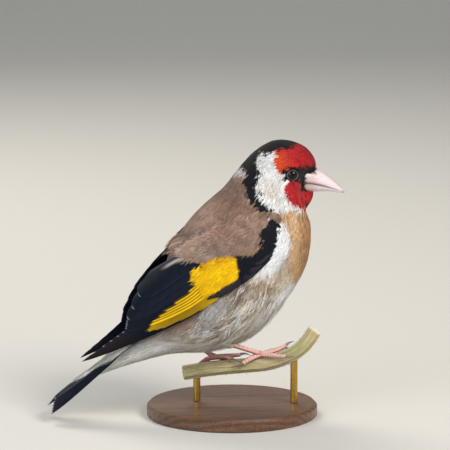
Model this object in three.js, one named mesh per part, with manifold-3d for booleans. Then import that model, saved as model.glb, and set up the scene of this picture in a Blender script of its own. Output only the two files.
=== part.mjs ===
import * as THREE from 'three';
import { mergeVertices } from 'three/addons/utils/BufferGeometryUtils.js';
import Module from 'manifold-3d';

// An adult European goldfinch, life size, perched on a cut length of thistle stem over a plain display base.
// Millimetres. +X is the way the bird faces, +Y its left side, +Z up. The origin is the centre of the
// base's underside. The right side of the bird is at negative Y.

const wasm = await Module();
wasm.setup();

const gap = 0.3; // air between touching pieces
const sides = { right: -1, left: 1 };

// Sections of the body from the bill's root to the tail coverts. Each is an oval that stands on the line
// from its top to its bottom in the bird's middle plane, [x, z], and half is its half width.
const bodySections = [
  { name: 'billRoot', top: [27.6, 81.5], bottom: [27.0, 73.9], half: 3.9 },
  { name: 'lores', top: [26.9, 84.7], bottom: [26.0, 71.0], half: 6.0 },
  { name: 'eye', top: [23.8, 88.5], bottom: [24.2, 68.4], half: 8.6 },
  { name: 'crown', top: [18.6, 90.7], bottom: [23.8, 66.9], half: 10.2 },
  { name: 'rearCrown', top: [13.0, 90.5], bottom: [24.6, 65.5], half: 10.9 },
  { name: 'nape', top: [7.3, 87.2], bottom: [25.6, 63.6], half: 11.4 },
  { name: 'hindNeck', top: [2.7, 82.4], bottom: [25.9, 60.6], half: 12.8 },
  { name: 'upperMantle', top: [-2.7, 75.6], bottom: [25.7, 55.8], half: 15.6 },
  { name: 'shoulder', top: [-9.0, 70.2], bottom: [24.4, 49.8], half: 18.0 },
  { name: 'mantle', top: [-14.0, 65.0], bottom: [21.4, 43.6], half: 19.2 },
  { name: 'midBack', top: [-18.0, 59.2], bottom: [17.2, 37.4], half: 19.2 },
  { name: 'lowerBack', top: [-21.4, 52.0], bottom: [12.0, 31.0], half: 18.0 },
  { name: 'rump', top: [-24.2, 43.0], bottom: [4.6, 25.4], half: 15.4 },
  { name: 'belly', top: [-28.4, 33.6], bottom: [-6.0, 21.9], half: 11.6 },
  { name: 'vent', top: [-33.8, 27.0], bottom: [-18.6, 21.4], half: 8.0 },
  { name: 'tailRoot', top: [-39.6, 21.9], bottom: [-31.6, 18.6], half: 5.6 },
  { name: 'tailCoverts', top: [-45.8, 17.6], bottom: [-43.2, 14.9], half: 3.4 },
];
const bodyRings = 36;
const bodyRingPoints = 24;
const headNeckCut = 4.9; // place along the sections, counted from bodySections[0]
const neckTorsoCut = 6.8;

// Catmull-Rom value of a list of numbers at a place t from 0 to the last index.
function smooth(values, t) {
  const last = values.length - 1;
  const i = Math.min(last - 1, Math.max(0, Math.floor(t)));
  const f = t - i;
  const at = (k) => values[Math.min(last, Math.max(0, k))];
  const [p, q, r, s] = [at(i - 1), at(i), at(i + 1), at(i + 2)];
  return q + 0.5 * f * (r - p + f * (2 * p - 5 * q + 4 * r - s + f * (3 * (q - r) + s - p)));
}

// The section at place u, with its oval grown by an amount.
function sectionAt(u) {
  const of = (pick) => smooth(bodySections.map(pick), u);
  return {
    top: new THREE.Vector3(of((s) => s.top[0]), 0, of((s) => s.top[1])),
    bottom: new THREE.Vector3(of((s) => s.bottom[0]), 0, of((s) => s.bottom[1])),
    half: of((s) => s.half),
  };
}

// A point of the body's surface. The angle runs from 0 at the top, over +Y, to PI at the bottom.
function bodyPoint(u, angle, grow = 0) {
  const { top, bottom, half } = sectionAt(u);
  const centre = top.clone().add(bottom).multiplyScalar(0.5);
  const up = top.clone().sub(bottom);
  const tall = up.length() / 2 + grow;
  up.normalize();
  return centre
    .addScaledVector(up, tall * Math.cos(angle))
    .add(new THREE.Vector3(0, (half + grow) * Math.sin(angle), 0));
}

// Half the body's width where a line along Y passes through [x, z], or 0 outside the body.
function bodyHalfWidth(x, z) {
  const across = (u) => {
    const { top, bottom } = sectionAt(u);
    return (bottom.x - top.x) * (z - top.z) - (bottom.z - top.z) * (x - top.x);
  };
  let [low, high] = [0, bodySections.length - 1];
  if (across(low) * across(high) > 0) return 0;
  const sign = Math.sign(across(low));
  for (let i = 0; i < 30; i++) {
    const mid = (low + high) / 2;
    if (Math.sign(across(mid)) === sign) low = mid;
    else high = mid;
  }
  const { top, bottom, half } = sectionAt(low);
  const tall = top.distanceTo(bottom);
  const share = Math.hypot(x - top.x, z - top.z) / tall;
  const k = 2 * share - 1;
  return Math.abs(k) < 1 ? half * Math.sqrt(1 - k * k) : 0;
}

// A closed geometry from rings of points, each ring with as many points, closed at each end.
function lofted(rings) {
  const n = rings[0].length;
  const points = rings.flat();
  const faces = [];
  for (let i = 0; i + 1 < rings.length; i++) {
    for (let j = 0; j < n; j++) {
      const [a, b] = [i * n + j, i * n + ((j + 1) % n)];
      faces.push(a, b, b + n, a, b + n, a + n);
    }
  }
  for (const [ring, start, turned] of [[rings[0], 0, true], [rings.at(-1), (rings.length - 1) * n, false]]) {
    if (n === 4) {
      const [a, b, c, d] = [0, 1, 2, 3].map((k) => start + k);
      faces.push(...(turned ? [a, c, b, a, d, c] : [a, b, c, a, c, d]));
      continue;
    }
    const middle = ring.reduce((sum, p) => sum.add(p), new THREE.Vector3()).divideScalar(n);
    const index = points.push(middle) - 1;
    for (let j = 0; j < n; j++) {
      const [a, b] = [start + j, start + ((j + 1) % n)];
      faces.push(...(turned ? [index, b, a] : [index, a, b]));
    }
  }
  const geometry = new THREE.BufferGeometry().setFromPoints(points);
  geometry.setIndex(faces);
  return geometry;
}

// The geometry as a solid, turned the right way out where it is inside out.
function solid(geometry, matrix, merging = 1e-4) {
  const bare = new THREE.BufferGeometry();
  bare.setAttribute('position', geometry.getAttribute('position').clone());
  if (geometry.index) bare.setIndex(geometry.index.clone());
  if (matrix) bare.applyMatrix4(matrix);
  const merged = mergeVertices(bare, merging);
  const build = (triVerts) =>
    new wasm.Manifold(new wasm.Mesh({ numProp: 3, vertProperties: merged.attributes.position.array, triVerts }));
  const faces = new Uint32Array(merged.index.array);
  const made = build(faces);
  return made.volume() < 0 ? build(faces.reverse()) : made;
}

const joined = (pieces) => pieces.reduce((a, b) => a.add(b));

// Edges shorter than this are closed up where thin vanes cross.
const crossingDetail = 0.06;

// The largest closed surface of a solid, as a geometry. The second round parts surfaces that meet at a point.
function largest(made) {
  let geometry;
  for (let round = 0; round < 2; round++) {
    const mesh = made.decompose().sort((a, b) => b.volume() - a.volume())[0].getMesh();
    const points = [];
    for (let i = 0; i < mesh.vertProperties.length; i += mesh.numProp) {
      points.push(new THREE.Vector3(...mesh.vertProperties.subarray(i, i + 3)));
    }
    geometry = new THREE.BufferGeometry().setFromPoints(points);
    geometry.setIndex([...mesh.triVerts]);
    made = solid(geometry, undefined, 1e-3);
  }
  geometry.computeVertexNormals();
  return geometry;
}

// Body

function bodySolid(grow = 0) {
  const rings = [];
  for (let i = 0; i <= bodyRings; i++) {
    const u = ((bodySections.length - 1) * i) / bodyRings;
    const ring = [];
    for (let j = 0; j < bodyRingPoints; j++) ring.push(bodyPoint(u, (2 * Math.PI * j) / bodyRingPoints, grow));
    rings.push(ring);
  }
  return solid(lofted(rings));
}

// A thin slab that parts the body at the section at place u.
function partingSlab(u) {
  const { top, bottom, half } = sectionAt(u);
  const spare = 3;
  const along = bottom.clone().sub(top).normalize();
  const across = new THREE.Vector3(0, 1, 0);
  const facing = new THREE.Vector3().crossVectors(along, across);
  const matrix = new THREE.Matrix4().makeBasis(along, across, facing);
  matrix.setPosition(top.clone().add(bottom).multiplyScalar(0.5));
  return solid(new THREE.BoxGeometry(top.distanceTo(bottom) + spare, 2 * half + spare, gap), matrix);
}

// Eyes

const eye = { x: 18.2, z: 80.9, radius: 2.15, sunk: 1.25, lidRing: 1.85, lidThick: 0.42 };
eye.out = bodyHalfWidth(eye.x, eye.z) - eye.sunk;

function eyeBall(side, grow = 0) {
  const place = new THREE.Matrix4().makeTranslation(eye.x, side * eye.out, eye.z);
  return solid(new THREE.SphereGeometry(eye.radius + grow, 16, 10), place);
}

function eyeLids(side) {
  const turn = new THREE.Matrix4().makeRotationX(Math.PI / 2);
  const tilt = new THREE.Matrix4().makeRotationZ(side * -0.2);
  const place = new THREE.Matrix4().makeTranslation(eye.x, side * (eye.out + eye.sunk), eye.z);
  return solid(new THREE.TorusGeometry(eye.lidRing, eye.lidThick, 5, 16), place.multiply(tilt).multiply(turn));
}

// Bill. Each half is a dome over the mouth line, and both run from behind the gape to the tip.

const billTip = [37.1, 73.2];
const culmen = [[26.4, 82.0], [28.4, 81.2], [31.0, 79.5], [34.2, 76.5], [36.2, 74.4], billTip];
const mouthLine = [[24.4, 77.6], [27.2, 76.9], [29.6, 76.2], [32.6, 75.1], [35.2, 74.0], billTip];
const gonys = [[24.4, 73.9], [27.2, 73.8], [29.6, 73.9], [32.6, 73.7], [35.2, 73.2], [36.6, 73.0]];
const billHalf = [4.0, 3.5, 2.8, 1.9, 0.95, 0.2];
const billRings = 10;
const billDomePoints = 8;

// One half of the bill, between the mouth line and its outer ridge.
function billHalfSolid(ridge, share, clearance, grow = 0) {
  const rings = [];
  for (let i = 0; i <= billRings; i++) {
    const t = (5 * i) / billRings;
    const back = i === 0 ? grow : 0;
    const base = [smooth(mouthLine.map((p) => p[0]), t) - back, smooth(mouthLine.map((p) => p[1]), t)];
    const edge = [smooth(ridge.map((p) => p[0]), t) - back, smooth(ridge.map((p) => p[1]), t)];
    const half = smooth(billHalf, t) * share + grow;
    const rise = Math.sign(edge[1] - base[1]) || Math.sign(ridge[0][1] - mouthLine[0][1]);
    const ring = [];
    for (let j = 0; j <= billDomePoints; j++) {
      const angle = (Math.PI * j) / billDomePoints;
      const lift = Math.sin(angle) ** 0.9;
      const x = base[0] + (edge[0] - base[0]) * lift;
      const z = base[1] + rise * clearance + (edge[1] - base[1] - rise * clearance) * lift + rise * grow * lift;
      ring.push(new THREE.Vector3(x, half * Math.cos(angle), z));
    }
    rings.push(ring);
  }
  return solid(lofted(rings));
}

const nostril = { x: 28.9, out: 1.9, z: 79.6, radius: 0.42 };

function nostrilPit(side) {
  const place = new THREE.Matrix4().makeTranslation(nostril.x, side * nostril.out, nostril.z);
  return solid(new THREE.SphereGeometry(nostril.radius, 8, 6), place);
}

// Folded wing. Its surface is given in the wing's own frame: a runs from the wrist to the longest primary's
// tip, c runs from the lower edge up to the back, and the third number is how far out from the middle plane.

const wrist = [14.0, 63.9];
const wingLength = 78;
const wingAxis = new THREE.Vector2(-64.2, -43.8).normalize();
const wingStep = 10; // the lists below hold one value for each such step of a
const wingOut = [15.0, 18.7, 19.7, 18.4, 15.6, 11.6, 7.6, 4.9, 3.0];
const wingMiddle = [0, -2.5, -3.8, -6.0, -6.5, -5.0, -3.5, -2.5, -2.0];
const wingDepth = [20.5, 21.0, 21.0, 20.0, 17.5, 12.8, 7.2, 5.0, 3.8];

function wingPlane(a, c) {
  return [wrist[0] + a * wingAxis.x + c * wingAxis.y, wrist[1] + a * wingAxis.y - c * wingAxis.x];
}

function wingBase(a, c) {
  const t = a / wingStep;
  const share = (c - smooth(wingMiddle, t)) / smooth(wingDepth, t);
  const out = smooth(wingOut, t) * Math.sqrt(Math.max(0.02, 1 - share * share));
  const [x, z] = wingPlane(a, c);
  return new THREE.Vector3(x, out, z);
}

// A point at height h over the wing's surface, on the bird's left. The caller mirrors it for the right.
function wingPoint(a, c, h) {
  const step = 0.4;
  const along = wingBase(a + step, c).sub(wingBase(a - step, c));
  const up = wingBase(a, c + step).sub(wingBase(a, c - step));
  const normal = up.cross(along).normalize();
  if (normal.y < 0) normal.negate();
  return wingBase(a, c).addScaledVector(normal, h);
}

// Half widths of a vane along its length, as shares of its widest.
const vaneForms = {
  flight: { along: [0, 0.45, 0.88, 1], wide: [0.7, 1, 0.78, 0.16] },
  covert: { along: [0, 0.76, 1], wide: [0.85, 1, 0.3] },
};
const vaneThick = 0.5;

// A thin vane on the wing, from root to tip in [a, c], at a height, with its lower edge raised by the tilt.
// bow bends it sideways at its middle, and curl lifts its tip.
function wingVane(side, { root, tip, half, height, tilt = 0.22, bow = 0, curl = 0, form = 'covert' }) {
  const { along, wide } = vaneForms[form];
  const direction = new THREE.Vector2(tip[0] - root[0], tip[1] - root[1]).normalize();
  const rings = along.map((t, i) => {
    const sideways = bow * 4 * t * (1 - t);
    const a = root[0] + (tip[0] - root[0]) * t - direction.y * sideways;
    const c = root[1] + (tip[1] - root[1]) * t + direction.x * sideways;
    const w = half * wide[i];
    const h = height + curl * t * t;
    const at = (k, lift) => {
      const p = wingPoint(a - direction.y * w * k, c + direction.x * w * k, h - tilt * k + lift);
      return new THREE.Vector3(p.x, side * p.y, p.z);
    };
    return [at(-1, 0), at(1, 0), at(1, -vaneThick), at(-1, -vaneThick)];
  });
  return solid(lofted(rings));
}

// Evenly stepped number from the first to the last of a row.
const stepped = (from, to, i, count) => from + ((to - from) * i) / Math.max(1, count - 1);

// A row of vanes whose values run from those of the first to those of the last.
function vaneRow(side, count, first, last, form) {
  return Array.from({ length: count }, (_, i) => {
    const mix = (key) => stepped(first[key] ?? 0, last[key] ?? 0, i, count);
    const pair = (key) => [0, 1].map((k) => stepped(first[key][k], last[key][k], i, count));
    return wingVane(side, {
      root: pair('root'), tip: pair('tip'), half: mix('half'), height: mix('height'),
      bow: mix('bow'), curl: mix('curl'), tilt: 'tilt' in first ? mix('tilt') : 0.22, form,
    });
  });
}

// The wing's thick part under the coverts, between an inner height and its own top, in an outline in [a, c].
const arm = {
  start: -0.5, end: 39, inner: -4,
  low: [-1.2, -4.8, -5.6, -4.4, -4.0, -4.0],
  high: [4.5, 9.0, 12.4, 13.0, 11.6, 8.8],
  top: [0.95, 1.05, 1.0, 0.7, 0.4, 0.3],
};

function armPlate(side) {
  const count = 7;
  const rows = 3;
  const rings = [];
  for (let i = 0; i <= count; i++) {
    const a = stepped(arm.start, arm.end, i, count + 1);
    const t = (5 * i) / count;
    const [low, high, top] = [smooth(arm.low, t), smooth(arm.high, t), smooth(arm.top, t)];
    const ring = [];
    for (const [height, back] of [[top, false], [arm.inner * (1 - (i / count) ** 2) + top - 0.6, true]]) {
      for (let j = 0; j <= rows; j++) {
        const p = wingPoint(a, stepped(low, high, back ? rows - j : j, rows + 1), height);
        ring.push(new THREE.Vector3(p.x, side * p.y, p.z));
      }
    }
    rings.push(ring);
  }
  return solid(lofted(rings));
}

function wingSolid(side) {
  const primaries = vaneRow(side, 6,
    { root: [27, -4.6], tip: [77.6, -0.4], half: 1.9, height: 0.0, bow: -1.3 },
    { root: [30, -1.8], tip: [60.8, 0.2], half: 2.4, height: 0.5, bow: -0.5 }, 'flight');
  const secondaries = vaneRow(side, 3,
    { root: [30, -0.8], tip: [59.4, 0.8], half: 2.6, height: 0.6, bow: -0.2 },
    { root: [30, 3.0], tip: [57.8, 2.2], half: 3.0, height: 0.75, bow: 0.2 }, 'flight');
  const tertials = vaneRow(side, 3,
    { root: [29, 4.2], tip: [56.4, 3.2], half: 3.0, height: 0.95, bow: 0.4 },
    { root: [28, 8.0], tip: [49.8, 6.6], half: 2.9, height: 1.3, bow: 0.5 }, 'flight');
  const greaterCoverts = vaneRow(side, 5,
    { root: [21, -3.8], tip: [32.0, -3.6], half: 1.8, height: 0.75 },
    { root: [23, 5.0], tip: [34.0, 5.0], half: 2.2, height: 1.15 });
  const primaryCoverts = vaneRow(side, 2,
    { root: [17, -5.2], tip: [29.5, -4.9], half: 1.2, height: 0.55 },
    { root: [19, -4.2], tip: [31.0, -4.0], half: 1.3, height: 0.65 });
  const alula = vaneRow(side, 2,
    { root: [7, -4.0], tip: [19.5, -5.6], half: 1.2, height: 0.85 },
    { root: [6, -3.0], tip: [16.5, -4.4], half: 1.3, height: 1.0 });
  const medianCoverts = vaneRow(side, 3,
    { root: [13, -2.4], tip: [22.5, -2.4], half: 2.2, height: 1.1 },
    { root: [15, 4.6], tip: [25.0, 4.6], half: 2.6, height: 1.45 });
  const lesserCoverts = vaneRow(side, 3,
    { root: [2.0, -1.6], tip: [14.5, -2.0], half: 1.9, height: 1.2 },
    { root: [3.5, 3.0], tip: [16.0, 2.8], half: 2.3, height: 1.5 });
  const scapulars = [
    ...vaneRow(side, 2,
      { root: [5, 4.6], tip: [18.5, 3.4], half: 2.9, height: 1.85 },
      { root: [13, 7.4], tip: [28.0, 6.0], half: 3.0, height: 2.0 }),
    ...vaneRow(side, 2,
      { root: [18, 10.0], tip: [33.5, 8.6], half: 2.9, height: 2.0 },
      { root: [21, 12.6], tip: [36.0, 11.0], half: 2.6, height: 1.9 }),
  ];
  return joined([
    armPlate(side),
    ...primaries, ...secondaries, ...tertials,
    ...greaterCoverts, ...primaryCoverts, ...alula, ...medianCoverts, ...lesserCoverts, ...scapulars,
  ]);
}

// Tail. Twelve feathers in a notched, slightly roofed fan, the middle pair on top.

const tail = {
  root: [-36.4, 24.0],
  slope: 37.2 * (Math.PI / 180),
  pairs: 6,
  lengthMiddle: 28.0,
  lengthOuter: 31.4,
  rootSpread: [0.5, 2.1],
  tipSpread: [1.5, 6.4],
  half: 2.3,
  drop: 1.8,
};

function tailVane(side, i) {
  const share = i / (tail.pairs - 1);
  const length = tail.lengthMiddle + (tail.lengthOuter - tail.lengthMiddle) * share ** 0.8;
  const back = new THREE.Vector3(-Math.cos(tail.slope), 0, -Math.sin(tail.slope));
  const up = new THREE.Vector3(-Math.sin(tail.slope), 0, Math.cos(tail.slope));
  const { along, wide } = vaneForms.flight;
  const rings = along.map((t, k) => {
    const out = stepped(tail.rootSpread[0], tail.rootSpread[1], i, tail.pairs) * (1 - t)
      + stepped(tail.tipSpread[0], tail.tipSpread[1], i, tail.pairs) * t;
    const w = tail.half * wide[k] * (k === 0 ? 0.6 : 1);
    const fall = -tail.drop * share * (0.4 + 0.6 * t);
    const at = (s, lift) => new THREE.Vector3(tail.root[0], 0, tail.root[1])
      .addScaledVector(back, length * t)
      .addScaledVector(up, fall - 0.28 * s + lift)
      .add(new THREE.Vector3(0, side * Math.max(-0.6, out + w * s), 0));
    return [at(-1, 0), at(1, 0), at(1, -vaneThick), at(-1, -vaneThick)];
  });
  return solid(lofted(rings));
}

function tailSolid() {
  const vanes = [];
  for (const side of Object.values(sides)) {
    for (let i = 0; i < tail.pairs; i++) vanes.push(tailVane(side, i));
  }
  return joined(vanes);
}

// The slot in the tail coverts that the tail's root sits in.
function tailSlot() {
  const length = 13;
  const matrix = new THREE.Matrix4().makeRotationY(-tail.slope);
  const along = new THREE.Vector3(-Math.cos(tail.slope), 0, -Math.sin(tail.slope));
  const up = new THREE.Vector3(-Math.sin(tail.slope), 0, Math.cos(tail.slope));
  matrix.setPosition(new THREE.Vector3(tail.root[0], 0, tail.root[1])
    .addScaledVector(along, length / 2 - 2 * gap).addScaledVector(up, -1.0));
  return solid(new THREE.BoxGeometry(length, 2 * (tail.rootSpread[1] + tail.half + gap) + 1, 3.4), matrix);
}

// Perch: a ribbed thistle stem, nearly level under the feet and rising in front.

const stemLine = new THREE.CatmullRomCurve3(
  [[-15.5, 4.6, 13.4], [-5.0, 2.2, 15.2], [4.0, 0, 16.2], [11.5, -1.8, 17.2], [18.0, -3.4, 19.6], [23.2, -4.6, 23.4],
    [26.6, -5.4, 28.4]].map((p) => new THREE.Vector3(...p)));
const stemLength = stemLine.getLength();
const stem = { radius: 2.3, rib: 0.18, ribs: 8, steps: 18 };

// The stem's own axes at a distance along it: forward, up and out to the bird's right.
function stemAxes(distance) {
  const t = Math.min(1, Math.max(0, distance / stemLength));
  const centre = stemLine.getPointAt(t);
  const forward = stemLine.getTangentAt(t);
  const right = new THREE.Vector3().crossVectors(forward, new THREE.Vector3(0, 0, 1)).normalize();
  const up = new THREE.Vector3().crossVectors(right, forward);
  return { centre, forward, right, up };
}

// A point round the stem: the angle is 0 on the bird's right side, 90 degrees on top.
function roundStem(distance, degrees, radius) {
  const { centre, right, up } = stemAxes(distance);
  const angle = THREE.MathUtils.degToRad(degrees);
  return centre.clone().addScaledVector(right, radius * Math.cos(angle)).addScaledVector(up, radius * Math.sin(angle));
}

function stemSolid(grow = 0) {
  const rings = [];
  for (let i = 0; i <= stem.steps; i++) {
    const ring = [];
    for (let j = 0; j < 2 * stem.ribs; j++) {
      const radius = stem.radius + grow + (j % 2 ? stem.rib : 0);
      ring.push(roundStem((stemLength * i) / stem.steps, (360 * j) / (2 * stem.ribs), radius));
    }
    rings.push(ring);
  }
  return solid(lofted(rings));
}

// A round rod with a radius at each of its points.
function taperedRod(points, radii, count = 6) {
  const rings = points.map((point, i) => {
    const forward = points[Math.min(i + 1, points.length - 1)].clone().sub(points[Math.max(i - 1, 0)]).normalize();
    const helper = Math.abs(forward.z) > 0.9 ? new THREE.Vector3(0, 1, 0) : new THREE.Vector3(0, 0, 1);
    const across = new THREE.Vector3().crossVectors(forward, helper).normalize();
    const up = new THREE.Vector3().crossVectors(across, forward);
    return Array.from({ length: count }, (_, j) => {
      const angle = (2 * Math.PI * j) / count;
      return point.clone()
        .addScaledVector(across, radii[i] * Math.cos(angle))
        .addScaledVector(up, radii[i] * Math.sin(angle));
    });
  });
  return solid(lofted(rings));
}

// Feet. Each toe runs over the stem from the foot's middle, then its claw bends down to the stem.

const toes = {
  inner: { run: 7.6, turn: 62, width: 0.66, claw: 3.2 },
  middle: { run: 10.2, turn: 6, width: 0.72, claw: 3.8 },
  outer: { run: 8.6, turn: -58, width: 0.66, claw: 3.2 },
  hind: { run: -6.4, turn: -48, width: 0.8, claw: 4.8 },
};
const feet = {
  right: { at: 26.6, lean: 70, reach: 1, heel: [-2.6, -7.6, 25.4] },
  left: { at: 10.6, lean: 116, reach: 0.85, heel: [-14.0, 7.4, 24.6] },
};
const footLift = stem.radius + stem.rib + gap; // the stem's surface that the toes' undersides keep to
const tarsusRadius = 0.72;

function toeSolid(side, foot, { run, turn, width, claw }) {
  const joints = 6;
  const clawJoints = 3;
  const way = Math.sign(run);
  const reach = run * foot.reach;
  const points = [];
  const radii = [];
  for (let i = 0; i <= joints; i++) {
    const t = i / joints;
    const pad = i % 2 === 1 ? 1.12 : 0.94;
    const radius = width * (1.1 - 0.35 * t) * pad;
    points.push(roundStem(foot.at + reach * t, foot.lean + side * -turn * t ** 1.2, footLift + width * 1.25));
    radii.push(radius);
  }
  for (let i = 1; i <= clawJoints; i++) {
    const t = i / clawJoints;
    const arch = Math.sin(Math.PI * Math.min(1, t * 0.9)) * 0.55;
    points.push(roundStem(foot.at + reach + way * claw * t * 0.9, foot.lean + side * -turn * (1 + 0.35 * t),
      footLift + width * 1.25 * (1 - t) + 0.2 * t + arch));
    radii.push(0.46 * (1 - 0.8 * t));
  }
  return taperedRod(points, radii);
}

function footSolid(name) {
  const side = sides[name];
  const foot = feet[name];
  const middle = roundStem(foot.at, foot.lean, footLift + 1.1);
  const heel = new THREE.Vector3(...foot.heel);
  const ankle = middle.clone().add(heel.clone().sub(middle).setLength(1.6));
  return joined([
    taperedRod([middle.clone().add(heel.clone().sub(middle).setLength(-0.4)), ankle], [1.0, 0.85], 8),
    ...Object.values(toes).map((toe) => toeSolid(side, foot, toe)),
  ]);
}

// Leg: the scaled shank from just over the foot to the heel, and the feathered thigh round the heel.
function legSolid(name) {
  const foot = feet[name];
  const middle = roundStem(foot.at, foot.lean, footLift + 1.1);
  const heel = new THREE.Vector3(...foot.heel);
  const along = heel.clone().sub(middle);
  const length = along.length();
  along.normalize();
  const at = (distance) => middle.clone().addScaledVector(along, distance);
  const scutes = 6;
  const points = [];
  const radii = [];
  for (let i = 0; i <= scutes; i++) {
    for (const [share, radius] of [[0.06, tarsusRadius], [0.86, tarsusRadius + 0.12]]) {
      points.push(at(1.6 + gap + ((length - 1.6 - gap) * (i + share)) / (scutes + 1)));
      radii.push(radius);
    }
  }
  const thighTop = heel.clone().add(new THREE.Vector3(-3.4, 1.2 * sides[name], 6.4));
  const thigh = taperedRod(
    [thighTop, heel.clone().lerp(thighTop, 0.45), heel.clone().addScaledVector(along, 0.4), at(length - 2.4)],
    [4.6, 4.0, 2.5, 0.9], 10);
  return joined([taperedRod(points, radii, 8), thigh]);
}

// Display stand: a round base with a bevelled rim, and two rods up to the stem.

const base = { radius: 28, height: 4.0, bevel: 0.8 };
const rods = { back: 4.5, front: 37.5 }; // distances along the stem
const rodRadius = 1.2;

function baseSolid() {
  const { radius, height, bevel } = base;
  const profile = [[0, 0], [radius - bevel / 2, 0], [radius, bevel / 2], [radius, height - bevel],
    [radius - bevel, height], [0, height]].map((p) => new THREE.Vector2(...p));
  return solid(new THREE.LatheGeometry(profile, 48), new THREE.Matrix4().makeRotationX(Math.PI / 2));
}

function rodSolid(distance) {
  const { centre } = stemAxes(distance);
  const foot = base.height + gap;
  const geometry = new THREE.CylinderGeometry(rodRadius, rodRadius, centre.z - foot, 20);
  const upright = new THREE.Matrix4().makeRotationX(Math.PI / 2);
  const place = new THREE.Matrix4().makeTranslation(centre.x, centre.y, (centre.z + foot) / 2);
  return solid(geometry, place.multiply(upright)).subtract(stemSolid(gap));
}

// Assembly

const looks = {
  mantle: { color: 0x9a7658, roughness: 0.9 },
  collar: { color: 0x17161a, roughness: 0.8 },
  face: { color: 0xc4231c, roughness: 0.85 },
  bill: { color: 0xe9dcd6, roughness: 0.45 },
  eye: { color: 0x120d0b, roughness: 0.08 },
  wing: { color: 0x16171d, roughness: 0.6 },
  tail: { color: 0x15161c, roughness: 0.6 },
  skin: { color: 0xc98f88, roughness: 0.6 },
  stem: { color: 0xa9a468, roughness: 0.8 },
  wood: { color: 0x6b4a31, roughness: 0.5 },
  brass: { color: 0xb99b5a, roughness: 0.35, metalness: 1 },
};

const bird = new THREE.Group();

function addNode(name, look, made) {
  const mesh = new THREE.Mesh(largest(made), new THREE.MeshStandardMaterial(looks[look]));
  mesh.name = name;
  bird.add(mesh);
}

const bodyAround = bodySolid(gap);
const upperBill = billHalfSolid(culmen, 1, gap / 2);
const lowerBill = billHalfSolid(gonys, 0.9, gap / 2);
const billRoom = billHalfSolid(culmen, 1, -0.4, gap).add(billHalfSolid(gonys, 0.9, -0.4, gap));

let body = bodySolid();
for (const side of Object.values(sides)) body = body.add(eyeLids(side));
for (const side of Object.values(sides)) body = body.subtract(eyeBall(side, gap));
body = body.subtract(billRoom).subtract(tailSlot())
  .subtract(partingSlab(headNeckCut)).subtract(partingSlab(neckTorsoCut));
const [head, neck, torso] = body.decompose()
  .filter((piece) => piece.volume() > 50)
  .sort((a, b) => b.boundingBox().max[2] - a.boundingBox().max[2]);

addNode('head', 'face', head);
addNode('neck', 'collar', neck);
addNode('torso', 'mantle', torso);
addNode('bill_upper', 'bill', joined([upperBill]).subtract(nostrilPit(1)).subtract(nostrilPit(-1)));
addNode('bill_lower', 'bill', lowerBill);
addNode('tail', 'tail', tailSolid().simplify(crossingDetail));
for (const [name, side] of Object.entries(sides)) {
  addNode('eye_' + name, 'eye', eyeBall(side));
  addNode('wing_' + name, 'wing', wingSolid(side).subtract(bodyAround).simplify(crossingDetail));
  addNode('leg_' + name, 'skin', legSolid(name).subtract(bodyAround));
  addNode('foot_' + name, 'skin', footSolid(name).simplify(crossingDetail));
}
addNode('perch_stem', 'stem', stemSolid());
addNode('stand_base', 'wood', baseSolid());
for (const [name, distance] of Object.entries(rods)) addNode('stand_rod_' + name, 'brass', rodSolid(distance));

export default bird;
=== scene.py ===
import math
from functools import partial
import bpy
import numpy as np
from mathutils import Matrix, Vector


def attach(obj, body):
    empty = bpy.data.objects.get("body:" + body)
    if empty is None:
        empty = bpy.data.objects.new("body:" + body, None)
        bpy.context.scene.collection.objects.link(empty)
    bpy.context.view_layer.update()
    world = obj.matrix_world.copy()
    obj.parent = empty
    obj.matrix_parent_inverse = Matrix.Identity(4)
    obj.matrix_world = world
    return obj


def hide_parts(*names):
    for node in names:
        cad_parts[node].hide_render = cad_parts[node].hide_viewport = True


# An adult European goldfinch, perched on a cut length of dry thistle stem over a plain display stand.
# The shapes are worked out in millimetres in the frame of the solids, and each mesh is turned to metres.
# +X is the way the bird faces, -Y its right side, +Z up.

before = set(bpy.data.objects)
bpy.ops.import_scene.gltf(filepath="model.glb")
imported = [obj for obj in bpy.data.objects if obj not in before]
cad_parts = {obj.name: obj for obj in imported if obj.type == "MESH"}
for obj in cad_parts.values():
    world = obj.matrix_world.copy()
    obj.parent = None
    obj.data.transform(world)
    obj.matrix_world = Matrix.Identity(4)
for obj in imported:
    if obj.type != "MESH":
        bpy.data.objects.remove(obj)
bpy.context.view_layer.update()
rng = np.random.default_rng(31)
mm = 0.001
sides = {"Right": -1, "Left": 1}


def linearOf(hexColour):
    # sRGB hex to linear
    values = [int(hexColour[i:i + 2], 16) / 255 for i in (1, 3, 5)]
    return np.array([v / 12.92 if v <= 0.04045 else ((v + 0.055) / 1.055) ** 2.4 for v in values])


def tintsOf(shades):
    return {name: linearOf(value) for name, value in shades.items()}


def catmull(values, t):
    # value of a list of rows at places t, counted from its first row
    values = np.asarray(values, float)
    t = np.asarray(t, float)
    last = len(values) - 1
    i = np.clip(np.floor(t).astype(int), 0, last - 1)
    f = t - i
    if values.ndim > 1:
        f = f[..., None]
    p, q, r, s = (values[np.clip(i + k, 0, last)] for k in (-1, 0, 1, 2))
    return q + 0.5 * f * (r - p + f * (2 * p - 5 * q + 4 * r - s + f * (3 * (q - r) + s - p)))


def unit(vectors):
    return vectors / np.maximum(1e-9, np.linalg.norm(vectors, axis=-1, keepdims=True))


def smoothstep(low, high, x):
    t = np.clip((x - low) / (high - low), 0, 1)
    return t * t * (3 - 2 * t)


def mixed(a, b, share):
    return a + (b - a) * np.asarray(share)[..., None]


def tinted(colour, name, share):
    # a part of one of the plumage colours mixed in
    return mixed(colour, tint[name], np.clip(share, 0, 1))


def placed(name, data):
    made = bpy.data.objects.new(name, data)
    bpy.context.collection.objects.link(made)
    return made


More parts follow.
